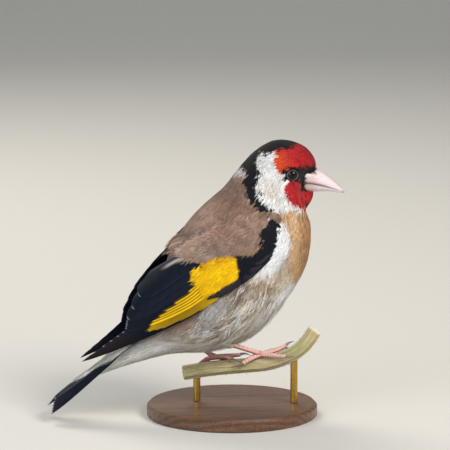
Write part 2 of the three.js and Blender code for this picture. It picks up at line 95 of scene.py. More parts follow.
def keptMesh(name, mesh, replaced=()):
    piece = placed(name, mesh)
    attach(piece, "root")
    if replaced:
        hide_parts(*replaced)
    return piece


def setColours(mesh, colours):
    # the piece's own plumage colours; a fourth column marks where they show through a pattern
    layer = mesh.color_attributes.new("plumage", "FLOAT_COLOR", "POINT")
    if colours.shape[1] == 3:
        colours = np.hstack([colours, np.ones((len(colours), 1))])
    layer.data.foreach_set("color", colours.ravel())


def meshPiece(name, points, faces, material, replaced=(), colours=None, uv=None):
    # points in millimetres; faces is a list of index arrays, each with faces of one size
    mesh = bpy.data.meshes.new(name)
    loops = np.concatenate([f.ravel() for f in faces])
    totals = np.concatenate([np.full(len(f), f.shape[1]) for f in faces])
    mesh.vertices.add(len(points))
    mesh.vertices.foreach_set("co", (points * mm).ravel())
    mesh.loops.add(len(loops))
    mesh.loops.foreach_set("vertex_index", loops)
    mesh.polygons.add(len(totals))
    mesh.polygons.foreach_set("loop_start", np.concatenate([[0], np.cumsum(totals)[:-1]]))
    mesh.polygons.foreach_set("loop_total", totals)
    mesh.polygons.foreach_set("use_smooth", np.full(len(totals), True))
    mesh.update(calc_edges=True)
    if colours is not None:
        setColours(mesh, np.broadcast_to(colours, (len(points), np.shape(colours)[-1])))
    for uvName, places in (uv or {}).items():
        mesh.uv_layers.new(name=uvName).data.foreach_set("uv", places[loops].ravel())
    mesh.validate()
    mesh.materials.append(material)
    return keptMesh(name, mesh, replaced)


def gridFaces(rows, columns, closed=True):
    # quads between the rows of a grid of points; a closed grid joins its last column to its first
    index = np.arange(rows * columns).reshape(rows, columns)
    ahead = np.roll(index, -1, 1)
    quads = np.stack([index[:-1], ahead[:-1], ahead[1:], index[1:]], -1)
    return (quads if closed else quads[:, :-1]).reshape(-1, 4)


def tubeFaces(rows, around):
    # a closed grid, with a fan to one more point at each end
    index = np.arange(rows * around).reshape(rows, around)
    ahead = np.roll(index, -1, 1)
    ends = [np.full(around, rows * around + k) for k in (0, 1)]
    caps = [np.stack([ahead[0], index[0], ends[0]], -1), np.stack([index[-1], ahead[-1], ends[1]], -1)]
    return gridFaces(rows, around), np.concatenate(caps)


def even(first, last, i, count):
    return first + (last - first) * i / max(1, count - 1)


def turns(count):
    # so many even steps round a circle
    return np.arange(count) * math.tau / count


def directions(turn, perP=1.0, perQ=1.0):
    # along and across a feather turned by an angle, in the two coordinates of its surface
    return (np.cos(turn) / perP, np.sin(turn) / perQ), (-np.sin(turn) / perP, np.cos(turn) / perQ)


def feed(value, socket):
    # links a node's first output, or the output named beside it; any other value becomes the socket's own
    if hasattr(value, "outputs"):
        value = value, 0
    if isinstance(value, tuple) and hasattr(value[0], "outputs"):
        socket.id_data.links.new(value[0].outputs[value[1]], socket)
    else:
        socket.default_value = value


def addNode(tree, kind, fed=None, **settings):
    # one node with its settings and what its inputs are fed; a kind with no family is a shader node
    family = "" if kind.startswith(("Geometry", "Function", "NodeGroup")) else "ShaderNode"
    node = tree.nodes.new(family + kind)
    node.location = (220 * (len(tree.nodes) % 8), -300 * (len(tree.nodes) // 8))
    for k, (place, shade) in enumerate(settings.pop("stops", ())):
        stop = node.color_ramp.elements[k] if k < 2 else node.color_ramp.elements.new(place)
        stop.position, stop.color = place, colour4(shade) if isinstance(shade, str) else shade
    for key, value in settings.items():
        setattr(node, key, value)
    for key, value in (fed or {}).items():
        feed(value, node.inputs[key])
    return node


def newMaterial(name, sockets):
    # what is the same all over a surface is set on the shader's own sockets
    material = bpy.data.materials.new(name)
    material.use_nodes = True
    material.node_tree.nodes.clear()
    add = partial(addNode, material.node_tree)
    shader = add("BsdfPrincipled", sockets)
    add("OutputMaterial", {"Surface": (shader, "BSDF")})
    return material, add, shader


def variedPlumage(add, pattern, fromLow, fromHigh, dark, light):
    # the piece's own colours, made darker and lighter by a pattern's value
    shade = add("VertexColor", layer_name="plumage")
    spread = add("MapRange", {"Value": pattern, "From Min": fromLow, "From Max": fromHigh, "To Min": dark,
        "To Max": light})
    return add("VectorMath", {0: (shade, "Color"), 1: (spread, "Result")}, operation="MULTIPLY")


def dress(add, shader, colour, height, strength, distance):
    # gives the shader its colour, and its relief of so many metres
    relief = add("Bump", {"Height": height, "Strength": strength, "Distance": distance})
    feed(relief, shader.inputs["Normal"])
    feed(colour, shader.inputs["Base Color"])


def colour4(hexColour):
    return (*linearOf(hexColour), 1.0)


# The bird's form: ovals from bill to tail coverts, as top x, top z, bottom x, bottom z, half width.

bodySections = np.array([[27.6, 81.5, 27.0, 73.9, 3.9], [26.9, 84.7, 26.0, 71.0, 6.0],
    [23.8, 88.5, 24.2, 68.4, 8.6], [18.6, 90.7, 23.8, 66.9, 10.2], [13.0, 90.5, 24.6, 65.5, 10.9],
    [7.3, 87.2, 25.6, 63.6, 11.4], [2.7, 82.4, 25.9, 60.6, 12.8], [-2.7, 75.6, 25.7, 55.8, 15.6],
    [-9.0, 70.2, 24.4, 49.8, 18.0], [-14.0, 65.0, 21.4, 43.6, 19.2], [-18.0, 59.2, 17.2, 37.4, 19.2],
    [-21.4, 52.0, 12.0, 31.0, 18.0], [-24.2, 43.0, 4.6, 25.4, 15.4], [-28.4, 33.6, -6.0, 21.9, 11.6],
    [-33.8, 27.0, -18.6, 21.4, 8.0], [-39.6, 21.9, -31.6, 18.6, 5.6], [-45.8, 17.6, -43.2, 14.9, 3.4]])
lastSection = len(bodySections) - 1


def gapeHollow(x, z):
    # how far the face draws in toward the root of the bill
    return smoothstep(18.8, 24.4, x) * np.exp(-((z - 77.0) / 5.5) ** 4)


def bodySurface(u, angle, grow=0.0):
    # the angle runs from 0 on top, over +Y, to pi at the bottom; past the last section it goes on straight
    u, angle = np.asarray(u, float), np.asarray(angle, float)
    inside = np.clip(u, 0, lastSection)
    over = (u - inside)[..., None]
    end = bodySections[-1] - catmull(bodySections, lastSection - 0.5)
    s = catmull(bodySections, inside) + over * 2 * end
    half = np.maximum(0.4, s[..., 4])
    centre = np.stack([(s[..., 0] + s[..., 2]) / 2, np.zeros_like(u), (s[..., 1] + s[..., 3]) / 2], -1)
    up = np.stack([s[..., 0] - s[..., 2], np.zeros_like(u), s[..., 1] - s[..., 3]], -1)
    tall = np.linalg.norm(up, axis=-1, keepdims=True)
    grow = np.asarray(grow, float)[..., None] * np.ones_like(tall)
    up = up / tall * (tall / 2 + grow) * np.cos(angle)[..., None]
    out = (half[..., None] + grow) * np.sin(angle)[..., None] * np.array([0, 1, 0])
    points = centre + up + out
    points[..., 1] *= 1 - 0.6 * gapeHollow(points[..., 0], points[..., 2])
    return points


def bodyHalfWidth(x, z):
    # half the body's width where a line along Y passes through x, z, or 0 outside it
    x, z = np.broadcast_arrays(np.asarray(x, float), np.asarray(z, float))

    def across(u):
        s = catmull(bodySections, u)
        return (s[..., 2] - s[..., 0]) * (z - s[..., 1]) - (s[..., 3] - s[..., 1]) * (x - s[..., 0])

    low, high = np.zeros_like(x), np.full_like(x, lastSection)
    sign = np.sign(across(low))
    outside = sign == np.sign(across(high))
    for _ in range(26):
        mid = (low + high) / 2
        same = np.sign(across(mid)) == sign
        low, high = np.where(same, mid, low), np.where(same, high, mid)
    s = catmull(bodySections, low)
    tall = np.hypot(s[..., 0] - s[..., 2], s[..., 1] - s[..., 3])
    k = 2 * np.hypot(x - s[..., 0], z - s[..., 1]) / tall - 1
    return np.where(outside | (np.abs(k) >= 1), 0, s[..., 4] * np.sqrt(np.maximum(0, 1 - k * k)))


# The folded wing's own surface: a runs from the wrist to the longest feather's tip, c up to the back.

wrist = np.array([14.0, 63.9])
wingAxis = np.array([-64.2, -43.8]) / math.hypot(64.2, 43.8)
wingOut = [15.0, 18.7, 19.7, 18.4, 15.6, 11.6, 7.6, 4.9, 3.0]
wingMiddle = [0, -2.5, -3.8, -6.0, -6.5, -5.0, -3.5, -2.5, -2.0]
wingDepth = [20.5, 21.0, 21.0, 20.0, 17.5, 12.8, 7.2, 5.0, 3.8]


def wingBase(a, c):
    share = (c - catmull(wingMiddle, a / 10)) / catmull(wingDepth, a / 10)
    out = catmull(wingOut, a / 10) * np.sqrt(np.maximum(0.02, 1 - share * share))
    x = wrist[0] + a * wingAxis[0] + c * wingAxis[1]
    z = wrist[1] + a * wingAxis[1] - c * wingAxis[0]
    return np.stack([x, out, z], -1)


def wingSurface(side):
    # a point at height h over the wing's surface, on one side of the bird
    def at(a, c, h):
        a, c = np.asarray(a, float), np.asarray(c, float)
        step = 0.5
        along = wingBase(a + step, c) - wingBase(a - step, c)
        up = wingBase(a, c + step) - wingBase(a, c - step)
        normal = unit(np.cross(up, along))
        normal = np.where(normal[..., 1:2] < 0, -normal, normal)
        points = wingBase(a, c) + normal * np.asarray(h)[..., None]
        return points * np.array([1, side, 1])
    return at


def signedDistance(x, z, outline):
    # distance to an outline in the side plane, negative inside it
    ring = np.asarray(outline, float)
    best = np.full(x.shape, 1e9)
    inside = np.zeros(x.shape, bool)
    for (x1, z1), (x2, z2) in zip(ring, np.roll(ring, -1, axis=0)):
        dx, dz = x2 - x1, z2 - z1
        t = np.clip(((x - x1) * dx + (z - z1) * dz) / (dx * dx + dz * dz), 0, 1)
        best = np.minimum(best, np.hypot(x - x1 - t * dx, z - z1 - t * dz))
        crossing = (z1 > z) != (z2 > z)
        inside ^= crossing & (x < dx * (z - z1) / (dz if dz else 1e-9) + x1)
    return np.where(inside, -best, best)


# Plumage colours of the head and body with a painted shadow under the folded wing, and the outlines of its
# markings in the side plane.

plumage = {
    "mantle": "#957561", "mantlePale": "#D2B29A", "mantleGrey": "#85766D", "mantleTip": "#B39078",
    "mantleDark": "#5F4A40", "rump": "#B9B6AE", "crown": "#090A10", "red": "#D8262B", "redDeep": "#B01822",
    "redWarm": "#E5561F", "lores": "#060506", "cheek": "#EAE9E7", "cheekSmudge": "#B9A987",
    "napeWhite": "#D9D6D2", "napeTan": "#AC8062", "tawny": "#CF9E6E", "tawnyDeep": "#A67C50",
    "tawnyLight": "#E0BE94", "breastWhite": "#F6F8FA", "buff": "#DDBB9A", "flank": "#BCA386",
    "flankDark": "#806A54", "flankGrey": "#BDBBB4", "belly": "#E6E0CC", "bellyGreen": "#C3C4AC",
    # the bluish grey #B9BFC4 is painted shadow, for the flank under the folded wing
    "paintedShadowUnderWing": "#B9BFC4", "ventWhite": "#E8E6DE",
}
tint = tintsOf(plumage)
markOutlines = {
    "mask": [(21.1, 90.4), (18.6, 89.0), (14.8, 88.6), (12.9, 87.8), (12.9, 85.8), (12.6, 83.6),
        (13.6, 82.0), (15.6, 81.8), (17.4, 82.9), (20.6, 83.3), (24.6, 82.6), (30, 82.9), (30, 93),
        (21.4, 93)],
    "lores": [(14.9, 79.2), (14.8, 81.8), (16.4, 83.2), (20.6, 83.3), (24.6, 82.6), (30, 82.9), (30, 76.2),
        (25.6, 76.4), (23.6, 73.6), (22.2, 76.0), (20.6, 78.2), (17.2, 78.4)],
    "chin": [(16.2, 78.3), (15.3, 76.6), (16.4, 74.0), (17.6, 71.4), (20.3, 70.0), (24.8, 67.8), (29, 68.5),
        (29, 76.2), (25.6, 76.4), (23.6, 73.2), (22.0, 76.0), (20.4, 78.3), (18.0, 78.7)],
    "crown": [(21.4, 95), (21.1, 90.2), (18.6, 88.9), (14.8, 88.7), (12.9, 87.9), (7.8, 86.8), (7.0, 83.2),
        (7.5, 81.0), (6.4, 76.6), (7.8, 73.9), (9.5, 71.5), (11.2, 69.9), (10.9, 67.6), (7.9, 68.9),
        (5.3, 71.2), (3.4, 74.4), (2.5, 78.2), (2.4, 82.0), (0.4, 84.6), (3, 95)],
    "whiteStrip": [(14.4, 66.2), (15.9, 63.6), (16.9, 61.3), (17.0, 58.7), (15.9, 55.5), (14.0, 53.0),
        (11.4, 50.3), (8.7, 48.9), (3.0, 50.0), (5.0, 56), (9.0, 60), (12.4, 66.0)],
    "tawny": [(13.6, 67.9), (15.0, 66.4), (16.2, 63.6), (17.0, 60.6), (17.2, 57.6), (16.5, 54.4),
        (16.4, 51.3), (17.2, 48.3), (19.5, 45.3), (24, 46.5), (27, 54.2), (28, 60.4), (28, 67), (27, 70),
        (17.6, 70.5)],
    "buffPatch": [(6.5, 48.8), (11.5, 50.2), (14.7, 50.6), (17.4, 48.8), (16.2, 45.6), (12.8, 43.9),
        (9.0, 44.9)],
    "frontWhite": [(19.7, 45.6), (17.4, 45.0), (15.6, 43.4), (12.4, 40.2), (9.4, 38.6), (6.8, 36.7),
        (6.6, 32.0), (9.0, 26), (20, 33), (24, 42), (22.3, 46.0)],
    "flankBrown": [(2.0, 47.4), (8.1, 48.0), (11.4, 43.5), (7.1, 39.5), (3.0, 36.6), (-1.8, 32.5),
        (-6.6, 29.2), (-10.3, 27.1), (-15.6, 26.4), (-18.9, 30.6), (-14.6, 34.2), (-9.6, 37.5),
        (-5.2, 41.0), (-2.3, 44.6)],
    # where the folded wing's painted shadow lies on the flank
    "paintedShadowUnderWing": [(-11.6, 41.2), (-6.5, 43.0), (-1.8, 42.0), (-3.9, 37.7), (-8.9, 35.3), (-14, 33.9),
        (-19, 35.0)],
    "napeSpot": [(2.6, 83.6), (3.1, 80.0), (1.4, 79.2), (-1.2, 81.0), (0.6, 84.8)],
    "head": [(30, 66.2), (17.2, 69.0), (13.0, 69.0), (10.9, 67.5), (7.9, 68.8), (5.3, 71.1), (3.4, 74.3),
        (2.5, 78.2), (2.4, 82.0), (0.4, 84.6), (3, 97), (34, 97)],
}


def waviness(points, size, seed):
    # a slow random value from about -1 to 1 over the surface
    phase = np.random.default_rng(seed).uniform(0, math.tau, (5, 3))
    turn = np.random.default_rng(seed + 1).normal(size=(5, 3))
    total = np.zeros(len(points))
    for k in range(5):
        total += np.sin(points @ (unit(turn[k]) * math.tau / (size * (0.6 + 0.25 * k))) + phase[k, 0])
    return total / 2.6


def mantleColour(points, slow, fine, streak):
    # warm brown, greyer low on the shoulder feathers, with dark feather centres
    x, z = points[:, 0], points[:, 2]
    grey = np.exp(-((x + 1.6) ** 2 + (z - 57) ** 2) / 34)
    colour = mixed(tint["mantle"], tint["mantleGrey"], np.clip(0.2 + 0.35 * slow + 0.7 * grey, 0, 1))
    colour = tinted(colour, "mantleTip", np.clip(0.2 + 0.4 * fine, 0, 0.8))
    colour = tinted(colour, "mantlePale", 0.5 * smoothstep(-3, -10, x) * smoothstep(50, 60, z))
    return tinted(colour, "mantleDark", np.clip(0.55 * streak, 0, 0.5))


def streaks(u, angle, count, seed):
    # light and dark lines that follow the feathers' run, about -1 to 1
    phase = np.random.default_rng(seed).uniform(0, math.tau, (6, 3))
    total = np.zeros(len(u))
    for k in range(6):
        sway = 0.9 * np.sin(u * (0.9 + 0.35 * k) + phase[k, 1])
        total += np.sin(angle * count * (0.6 + 0.22 * k) + phase[k, 0] + sway) * np.sin(u * (1.3 + 0.5 * k)
            + phase[k, 2])
    return total / 1.8


def plumageAt(points, u, angle, ragged=0.45):
    # linear colour of the head's and body's feathers at points on the surface, with the folded wing's
    # painted shadow on the flank
    x = points[:, 0] + rng.normal(0, ragged, len(points))
    z = points[:, 2] + rng.normal(0, ragged, len(points))
    low = math.pi - np.abs(np.mod(angle + math.pi, math.tau) - math.pi)  # 0 at the bottom, pi on top
    slow = waviness(points, 9.0, 5)
    fine = waviness(points, 2.6, 9)

    chance = rng.uniform(-1, 1, len(points))
    streak = np.clip(streaks(u, angle, 46, 3) + 0.4 * chance, -1, 1)

    def within(marking, edge=0.5):
        return smoothstep(edge, -edge, signedDistance(x, z, markOutlines[marking]))

    back = mantleColour(points, slow, fine, streak)
    back = tinted(back, "rump", smoothstep(12.2, 14.2, u))

    belly = mixed(tint["belly"], tint["bellyGreen"], np.clip(0.4 + 0.5 * slow + 0.3 * chance, 0, 1))
    belly = tinted(belly, "flank", np.clip(0.9 * streak - 0.1, 0, 0.8))
    belly = tinted(belly, "breastWhite", np.clip(-0.9 * streak - 0.2, 0, 0.9))
    flank = mixed(tint["flank"], tint["flankGrey"], np.clip(0.35 + 0.5 * slow + 0.4 * chance, 0, 1))
    flank = tinted(flank, "flankDark", np.clip(1.1 * streak, 0, 0.9))
    flank = tinted(flank, "breastWhite", np.clip(-1.1 * streak - 0.35, 0, 0.85))
    under = mixed(belly, mixed(flank, belly, 0.45), smoothstep(0.7, 1.1, low + 0.12 * fine))
    under = mixed(under, flank, within("flankBrown", 2.0))
    under = tinted(under, "ventWhite", smoothstep(12.8, 14.0, u))
    # painted shadow: the flank just under the folded wing is greyed toward a bluish grey
    under = tinted(under, "paintedShadowUnderWing", 0.8 * within("paintedShadowUnderWing", 1.2) * (0.75 + 0.25 * chance))
    under = tinted(under, "breastWhite", (1 - smoothstep(0.12, 0.4, low)) * (1 - smoothstep(10.5, 12.5, u)))
    under = tinted(under, "breastWhite", within("frontWhite", 1.6) * (1.0 + 0.2 * chance))
    under = tinted(under, "buff", 0.3 * within("buffPatch", 1.8))
    tawny = mixed(tint["tawny"], tint["tawnyDeep"], np.clip(0.3 + 0.5 * fine + 0.35 * chance, 0, 1))
    tawny = tinted(tawny, "tawnyLight", 0.9 - 0.28 * np.abs(x - 18.8) - 0.2 * chance)
    under = mixed(under, tawny, within("tawny", 0.7) * smoothstep(0.10, 0.26, low + 0.04 * fine))
    under = tinted(under, "breastWhite", within("whiteStrip", 0.5))
    body = mixed(under, back, smoothstep(1.62, 1.9, low + 0.06 * fine))

    cheek = mixed(tint["cheek"], tint["cheekSmudge"],
        0.75 * np.exp(-((x - 11.0) ** 2 / 9 + (z - 76.2) ** 2 / 7)) * np.clip(0.7 + 0.5 * fine, 0, 1))
    red = mixed(tint["red"], tint["redDeep"], np.clip(0.3 + 0.5 * fine, 0, 1))
    red = tinted(red, "redWarm", 0.75 * smoothstep(4.5, 1.0, np.hypot(x - 14.2, (z - 84.6) * 0.7)))
    red = tinted(red, "redWarm", 0.4 * smoothstep(1.5, -1.0, z - 71) * smoothstep(20, 24, x))
    head = mixed(cheek, red, smoothstep(17.4, 17.8, x) * (z > 71.8) * (z < 79.5))
    for marking, shade in (("crown", tint["crown"]), ("mask", red), ("chin", red),
            ("lores", tint["lores"])):
        head = mixed(head, shade, signedDistance(x, z, markOutlines[marking]) < 0)
    colour = mixed(body, head, signedDistance(x, z, markOutlines["head"]) < 0)
    spot = signedDistance(x, z, markOutlines["napeSpot"]) < 0
    return mixed(colour, mixed(tint["napeWhite"], tint["napeTan"], smoothstep(80.6, 79.8, z)), spot)


def scattered(along, across, strayA, strayC):
    # roots on a grid, each moved at random
    a, c = np.meshgrid(along, across)
    a = a + rng.uniform(-strayA, strayA, a.shape)
    return a.ravel(), (c + rng.uniform(-strayC, strayC, c.shape)).ravel()


bakePatch = 0.0028  # about the size of one tuft's patch in the OFBake map

# Feathers as tufts of fine tapering blades. A tuft lies along a surface that is given by two coordinates and
# a height; forward and sideways say how those change for each millimetre along and across the tuft.

def tuftBlades(surface, p, q, forward, sideways, length, width, rootHeight, tipHeight, rootColour,
        tipColour, blades=7, fray=0.16, fullness=0.9, shade=0.12, arch=0.12, shaft=0.25, patchOf=None):
    n = len(p)
    width, rootHeight = width * np.ones(n), rootHeight * np.ones(n)
    s = np.linspace(-1, 1, blades)[None, :] + rng.uniform(-0.5, 0.5, (n, blades)) / blades
    reach = (1 - 0.34 * s * s) * (1 + rng.normal(0, fray, (n, blades)))
    bladeHalf = (width[:, None] / blades) * fullness * rng.uniform(0.8, 1.25, (n, blades))
    along = np.stack([0.03 * reach, 0.03 * reach, 0.68 * reach, 0.68 * reach, reach],
        -1) * length[:, None, None]
    across = np.stack([0.45 * s, 0.45 * s, 0.96 * s, 0.96 * s, 1.02 * s], -1) * (width / 2)[:, None, None]
    across += bladeHalf[..., None] * np.array([-0.9, 0.9, -0.75, 0.75, 0])
    across[..., 4] += rng.normal(0, 0.09, (n, blades)) * width[:, None]
    rise = np.array([0, 0, 0.8, 0.8, 1.0])
    height = rootHeight[:, None, None] + (tipHeight - rootHeight)[:, None, None] * rise
    height = height + arch * (1 - s * s)[..., None] * np.array([0, 0, 1, 1, 0.2])
    height = height + rng.normal(0, 0.05, (n, blades))[..., None] * rise
    pAll = p[:, None, None] + along * forward[0][:, None, None] + across * sideways[0][:, None, None]
    qAll = q[:, None, None] + along * forward[1][:, None, None] + across * sideways[1][:, None, None]
    points = surface(pAll.ravel(), qAll.ravel(), height.ravel())
    light = (1 + rng.normal(0, shade, (n, blades))) * (1 - shaft * np.exp(-(s / 0.3) ** 2))
    light = (light * (1 + rng.normal(0, 0.9 * shade, (n, 1))))[..., None, None]
    # each blade runs from its root colour to its tip colour; the darker roots that the callers give are
    # painted shade between the overlapping feathers
    ramp = np.array([0, 0, 0.5, 0.5, 1.0])[None, None, :, None]
    colours = (rootColour[:, None, None, :] * (1 - ramp) + tipColour[:, None, None, :] * ramp) * light
    places = patchOf(p, q)[:, None, None, :] + bakePatch * np.stack([across / width[:, None, None],
        along / length[:, None, None] - 0.5], -1)
    first = np.arange(n * blades)[:, None] * 5
    quads = first + np.array([0, 1, 3, 2])
    tips = first + np.array([2, 3, 4])
    return points, quads, tips, np.clip(colours.reshape(-1, 3), 0, 1), places.reshape(-1, 2)


def orientedFaces(points, faces, outside):
    # turns the faces over where they look away from the outside direction of their first corner
    a, b, c = (points[faces[:, k]] for k in (0, 1, 2))
    facing = np.einsum("ij,ij->i", np.cross(b - a, c - a), outside[faces[:, 0]])
    flipped = faces.copy()
    flipped[facing < 0] = flipped[facing < 0][:, ::-1]
    return flipped


def joined(parts, faceColumns, otherColumns):
    # the parts' points, faces and other columns end to end, their faces counted on
    offset = np.cumsum([0] + [len(part[0]) for part in parts[:-1]])
    faces = [np.concatenate([part[k] + o for part, o in zip(parts, offset)]) for k in faceColumns]
    return np.concatenate([p[0] for p in parts]), *faces, *(np.concatenate([p[k] for p in parts])
        for k in otherColumns)


def coatPieces(name, parts, outward, material):
    # joins tufts into pieces that stay well under the triangle limit
    points, quads, tips, colours, places = joined(parts, (1, 2), (3, 4))
    outside = outward(points)
    quads, tips = orientedFaces(points, quads, outside), orientedFaces(points, tips, outside)
    count, limit = len(quads), 62000
    for k in range(math.ceil(count / limit)):
        rows = slice(k * limit, min(count, (k + 1) * limit))
        first = rows.start * 5
        span = slice(first, rows.stop * 5)
        meshPiece(f"{name}{k + 1}", points[span], [quads[rows] - first, tips[rows] - first], material,
            colours=colours[span], uv={"OFBake": places[span]})
    return count * 3


# The soft feathers' surface: barbs too fine to see one by one give a matt, slightly fuzzy face.

def downyMaterial(name, roughness, sheen, grain):
    material, add, shader = newMaterial(name, {"Roughness": roughness, "Specular IOR Level": 0.2,
        "Sheen Weight": sheen, "Sheen Roughness": 0.5})
    place = add("TexCoord")
    barbs = add("TexNoise", {"Vector": (place, "Object"), "Scale": 1000 / grain, "Detail": 3.0,
        "Roughness": 0.6})
    dress(add, shader, variedPlumage(add, barbs, 0.3, 0.7, 0.86, 1.12), barbs, 0.25, 0.0001)
    return material


downyPlumage = downyMaterial("downyPlumage", 0.82, 0.07, 0.35)  # keratin barbs, unlinked: matt, soft-edged
# the sheets that use it are given the plumage colours darkened, as painted shade between the feathers
skinUnderDown = downyMaterial("skinUnderDown", 0.9, 0.1, 0.6)  # the same colours, seen only between feathers

# The skin: one closed sheet from bill to tail, sunk under the feathers by the coat's depth.

skinForm = {"rings": 150, "ringPoints": 88, "headDepth": 0.45, "bodyDepth": 1.1}


def coatDepth(u):
    return skinForm["headDepth"] + (skinForm["bodyDepth"] - skinForm["headDepth"]) * smoothstep(3.5, 8.5, u)


def skinPatch(u, angle):
    # the skin's own unwrap, flat between 0 and 1
    return np.stack([np.mod(angle / (math.tau) + 0.5, 1.0), 0.02 + 0.94 * u / (lastSection + 1)], -1)


def makeSkin():
    rings, around = skinForm["rings"], skinForm["ringPoints"]
    u = np.repeat(np.linspace(0, lastSection, rings + 1), around)
    angle = np.tile(turns(around) - math.pi, rings + 1)
    points = bodySurface(u, angle, -coatDepth(u))
    # painted shade: the skin takes the plumage colours darkened to 0.62
    colours = plumageAt(bodySurface(u, angle), u, angle, ragged=0.1) * 0.62
    quads, caps = tubeFaces(rings + 1, around)
    quads = orientedFaces(points, quads, points - bodySurface(u, angle, -6.0))
    points = np.vstack([points, points[:around].mean(0), points[-around:].mean(0)])
    colours = np.vstack([colours, colours[:1], colours[-1:]])
    places = np.vstack([skinPatch(u, angle), [[0.5, 0.01], [0.5, 0.97]]])
    meshPiece("skin", points, [quads, caps], skinUnderDown, ("head", "neck", "torso"),
        colours=colours, uv={"OFBake": places})


makeSkin()
print("skin made")

# The head's and body's small feathers, laid in staggered rows from the bill to the tail like roof tiles.

coat = {
    "length": [1.3, 1.5, 1.7, 2.0, 2.5, 3.0, 3.6, 4.6, 5.4, 6.0, 6.6, 7.0, 7.4, 7.6, 8.2, 8.8, 7.0],
    "width": [0.7, 0.75, 0.85, 0.95, 1.15, 1.4, 1.8, 2.3, 2.7, 3.0, 3.1, 3.1, 3.0, 2.8, 2.6, 2.4, 2.0],
    "faceLength": 0.74, "rowStep": 0.19, "sideStep": 0.34, "jitter": 0.45, "eyeClear": 2.05,
}
billRoot = [(21.7, 75.2), (22.4, 77.9), (24.3, 80.0), (25.9, 82.3), (40, 82.3), (40, 73.2), (22.4, 73.4)]
eye = {"x": 18.2, "z": 80.9, "radius": 2.15, "sunk": 1.25}
eye["out"] = float(bodyHalfWidth(eye["x"], eye["z"])) - eye["sunk"]


def underWing(points):
    # a body point's place on the folded wing, and the wing's lower edge there
    dx, dz = points[:, 0] - wrist[0], points[:, 2] - wrist[1]
    a, c = dx * wingAxis[0] + dz * wingAxis[1], dx * wingAxis[1] - dz * wingAxis[0]
    return a, c, np.interp(a, [0, 6, 12, 20, 30, 45, 60, 78], [-0.5, -2.6, -4.6, -5.4, -4.4, -4.4, -2.6, 0])


def wingCover(points):
    # how far under the folded wing a body point lies: 1 well under it, 0 clear of it
    a, c, low = underWing(points)
    high = np.interp(a, [0, 5, 10, 20, 30, 40, 55, 78], [3, 6, 8, 12, 12, 9, 5, 1])
    return np.where((a > 0.5) & (a < 78), np.clip(np.minimum(c - low, high - c) / 1.5, 0, 1), 0)


def edgeNearness(points):
    # 1 for body points just below the folded wing's lower and front edge, falling off over a few millimetres
    a, c, low = underWing(points)
    return np.exp(-((c - low) / 2.2) ** 2) * smoothstep(56, 48, a) * (a > -3) * (0.15 + 0.85 * smoothstep(2,
        8, a))


def layRows():
    # roots of the tufts as u, angle
    rows = []
    u = 0.05
    shift = 0.0
    while u < lastSection - 0.15:
        length = float(catmull(coat["length"], u))
        width = float(catmull(coat["width"], u))
        probe = bodySurface(np.array([u, u + 0.01]), np.array([1.6, 1.6]))
        ringLength = math.tau * (catmull(bodySections, u)[4] + 1) * 1.12
        count = max(8, int(ringLength / (width * coat["sideStep"])))
        angle = (np.arange(count) + shift) * math.tau / count - math.pi
        step = length * coat["rowStep"] / max(1e-6, float(np.linalg.norm(probe[1] - probe[0]) / 0.01))
        jitter = coat["jitter"]
        rows.append(np.stack([u + rng.uniform(-jitter, jitter, count) * step, angle + rng.uniform(-jitter,
            jitter, count) * math.tau / count], -1))
        shift = 0.5 - shift
        u += step
    return np.concatenate(rows)


def bodyOutward(points):
    # away from the body's middle line
    x, z = points[:, 0], points[:, 2]
    middle = (bodySections[:, :2] + bodySections[:, 2:4]) / 2
    near = np.argmin((x[:, None] - middle[:, 0]) ** 2 + (z[:, None] - middle[:, 1]) ** 2, axis=1)
    centre = np.stack([middle[near, 0], np.zeros(len(x)), middle[near, 1]], -1)
    return points - centre


def bodyStretch(u, angle):
    # millimetres over the surface for each step of u, and for each radian of the angle
    step = 0.01
    gaps = [bodySurface(u + du, angle + turn) - bodySurface(u - du, angle - turn) for du,
        turn in ((step, 0), (0, step))]
    perU, perAngle = (np.linalg.norm(gap, axis=1) / (2 * step) for gap in gaps)
    return np.maximum(perU, 0.6), np.maximum(perAngle, 0.8)


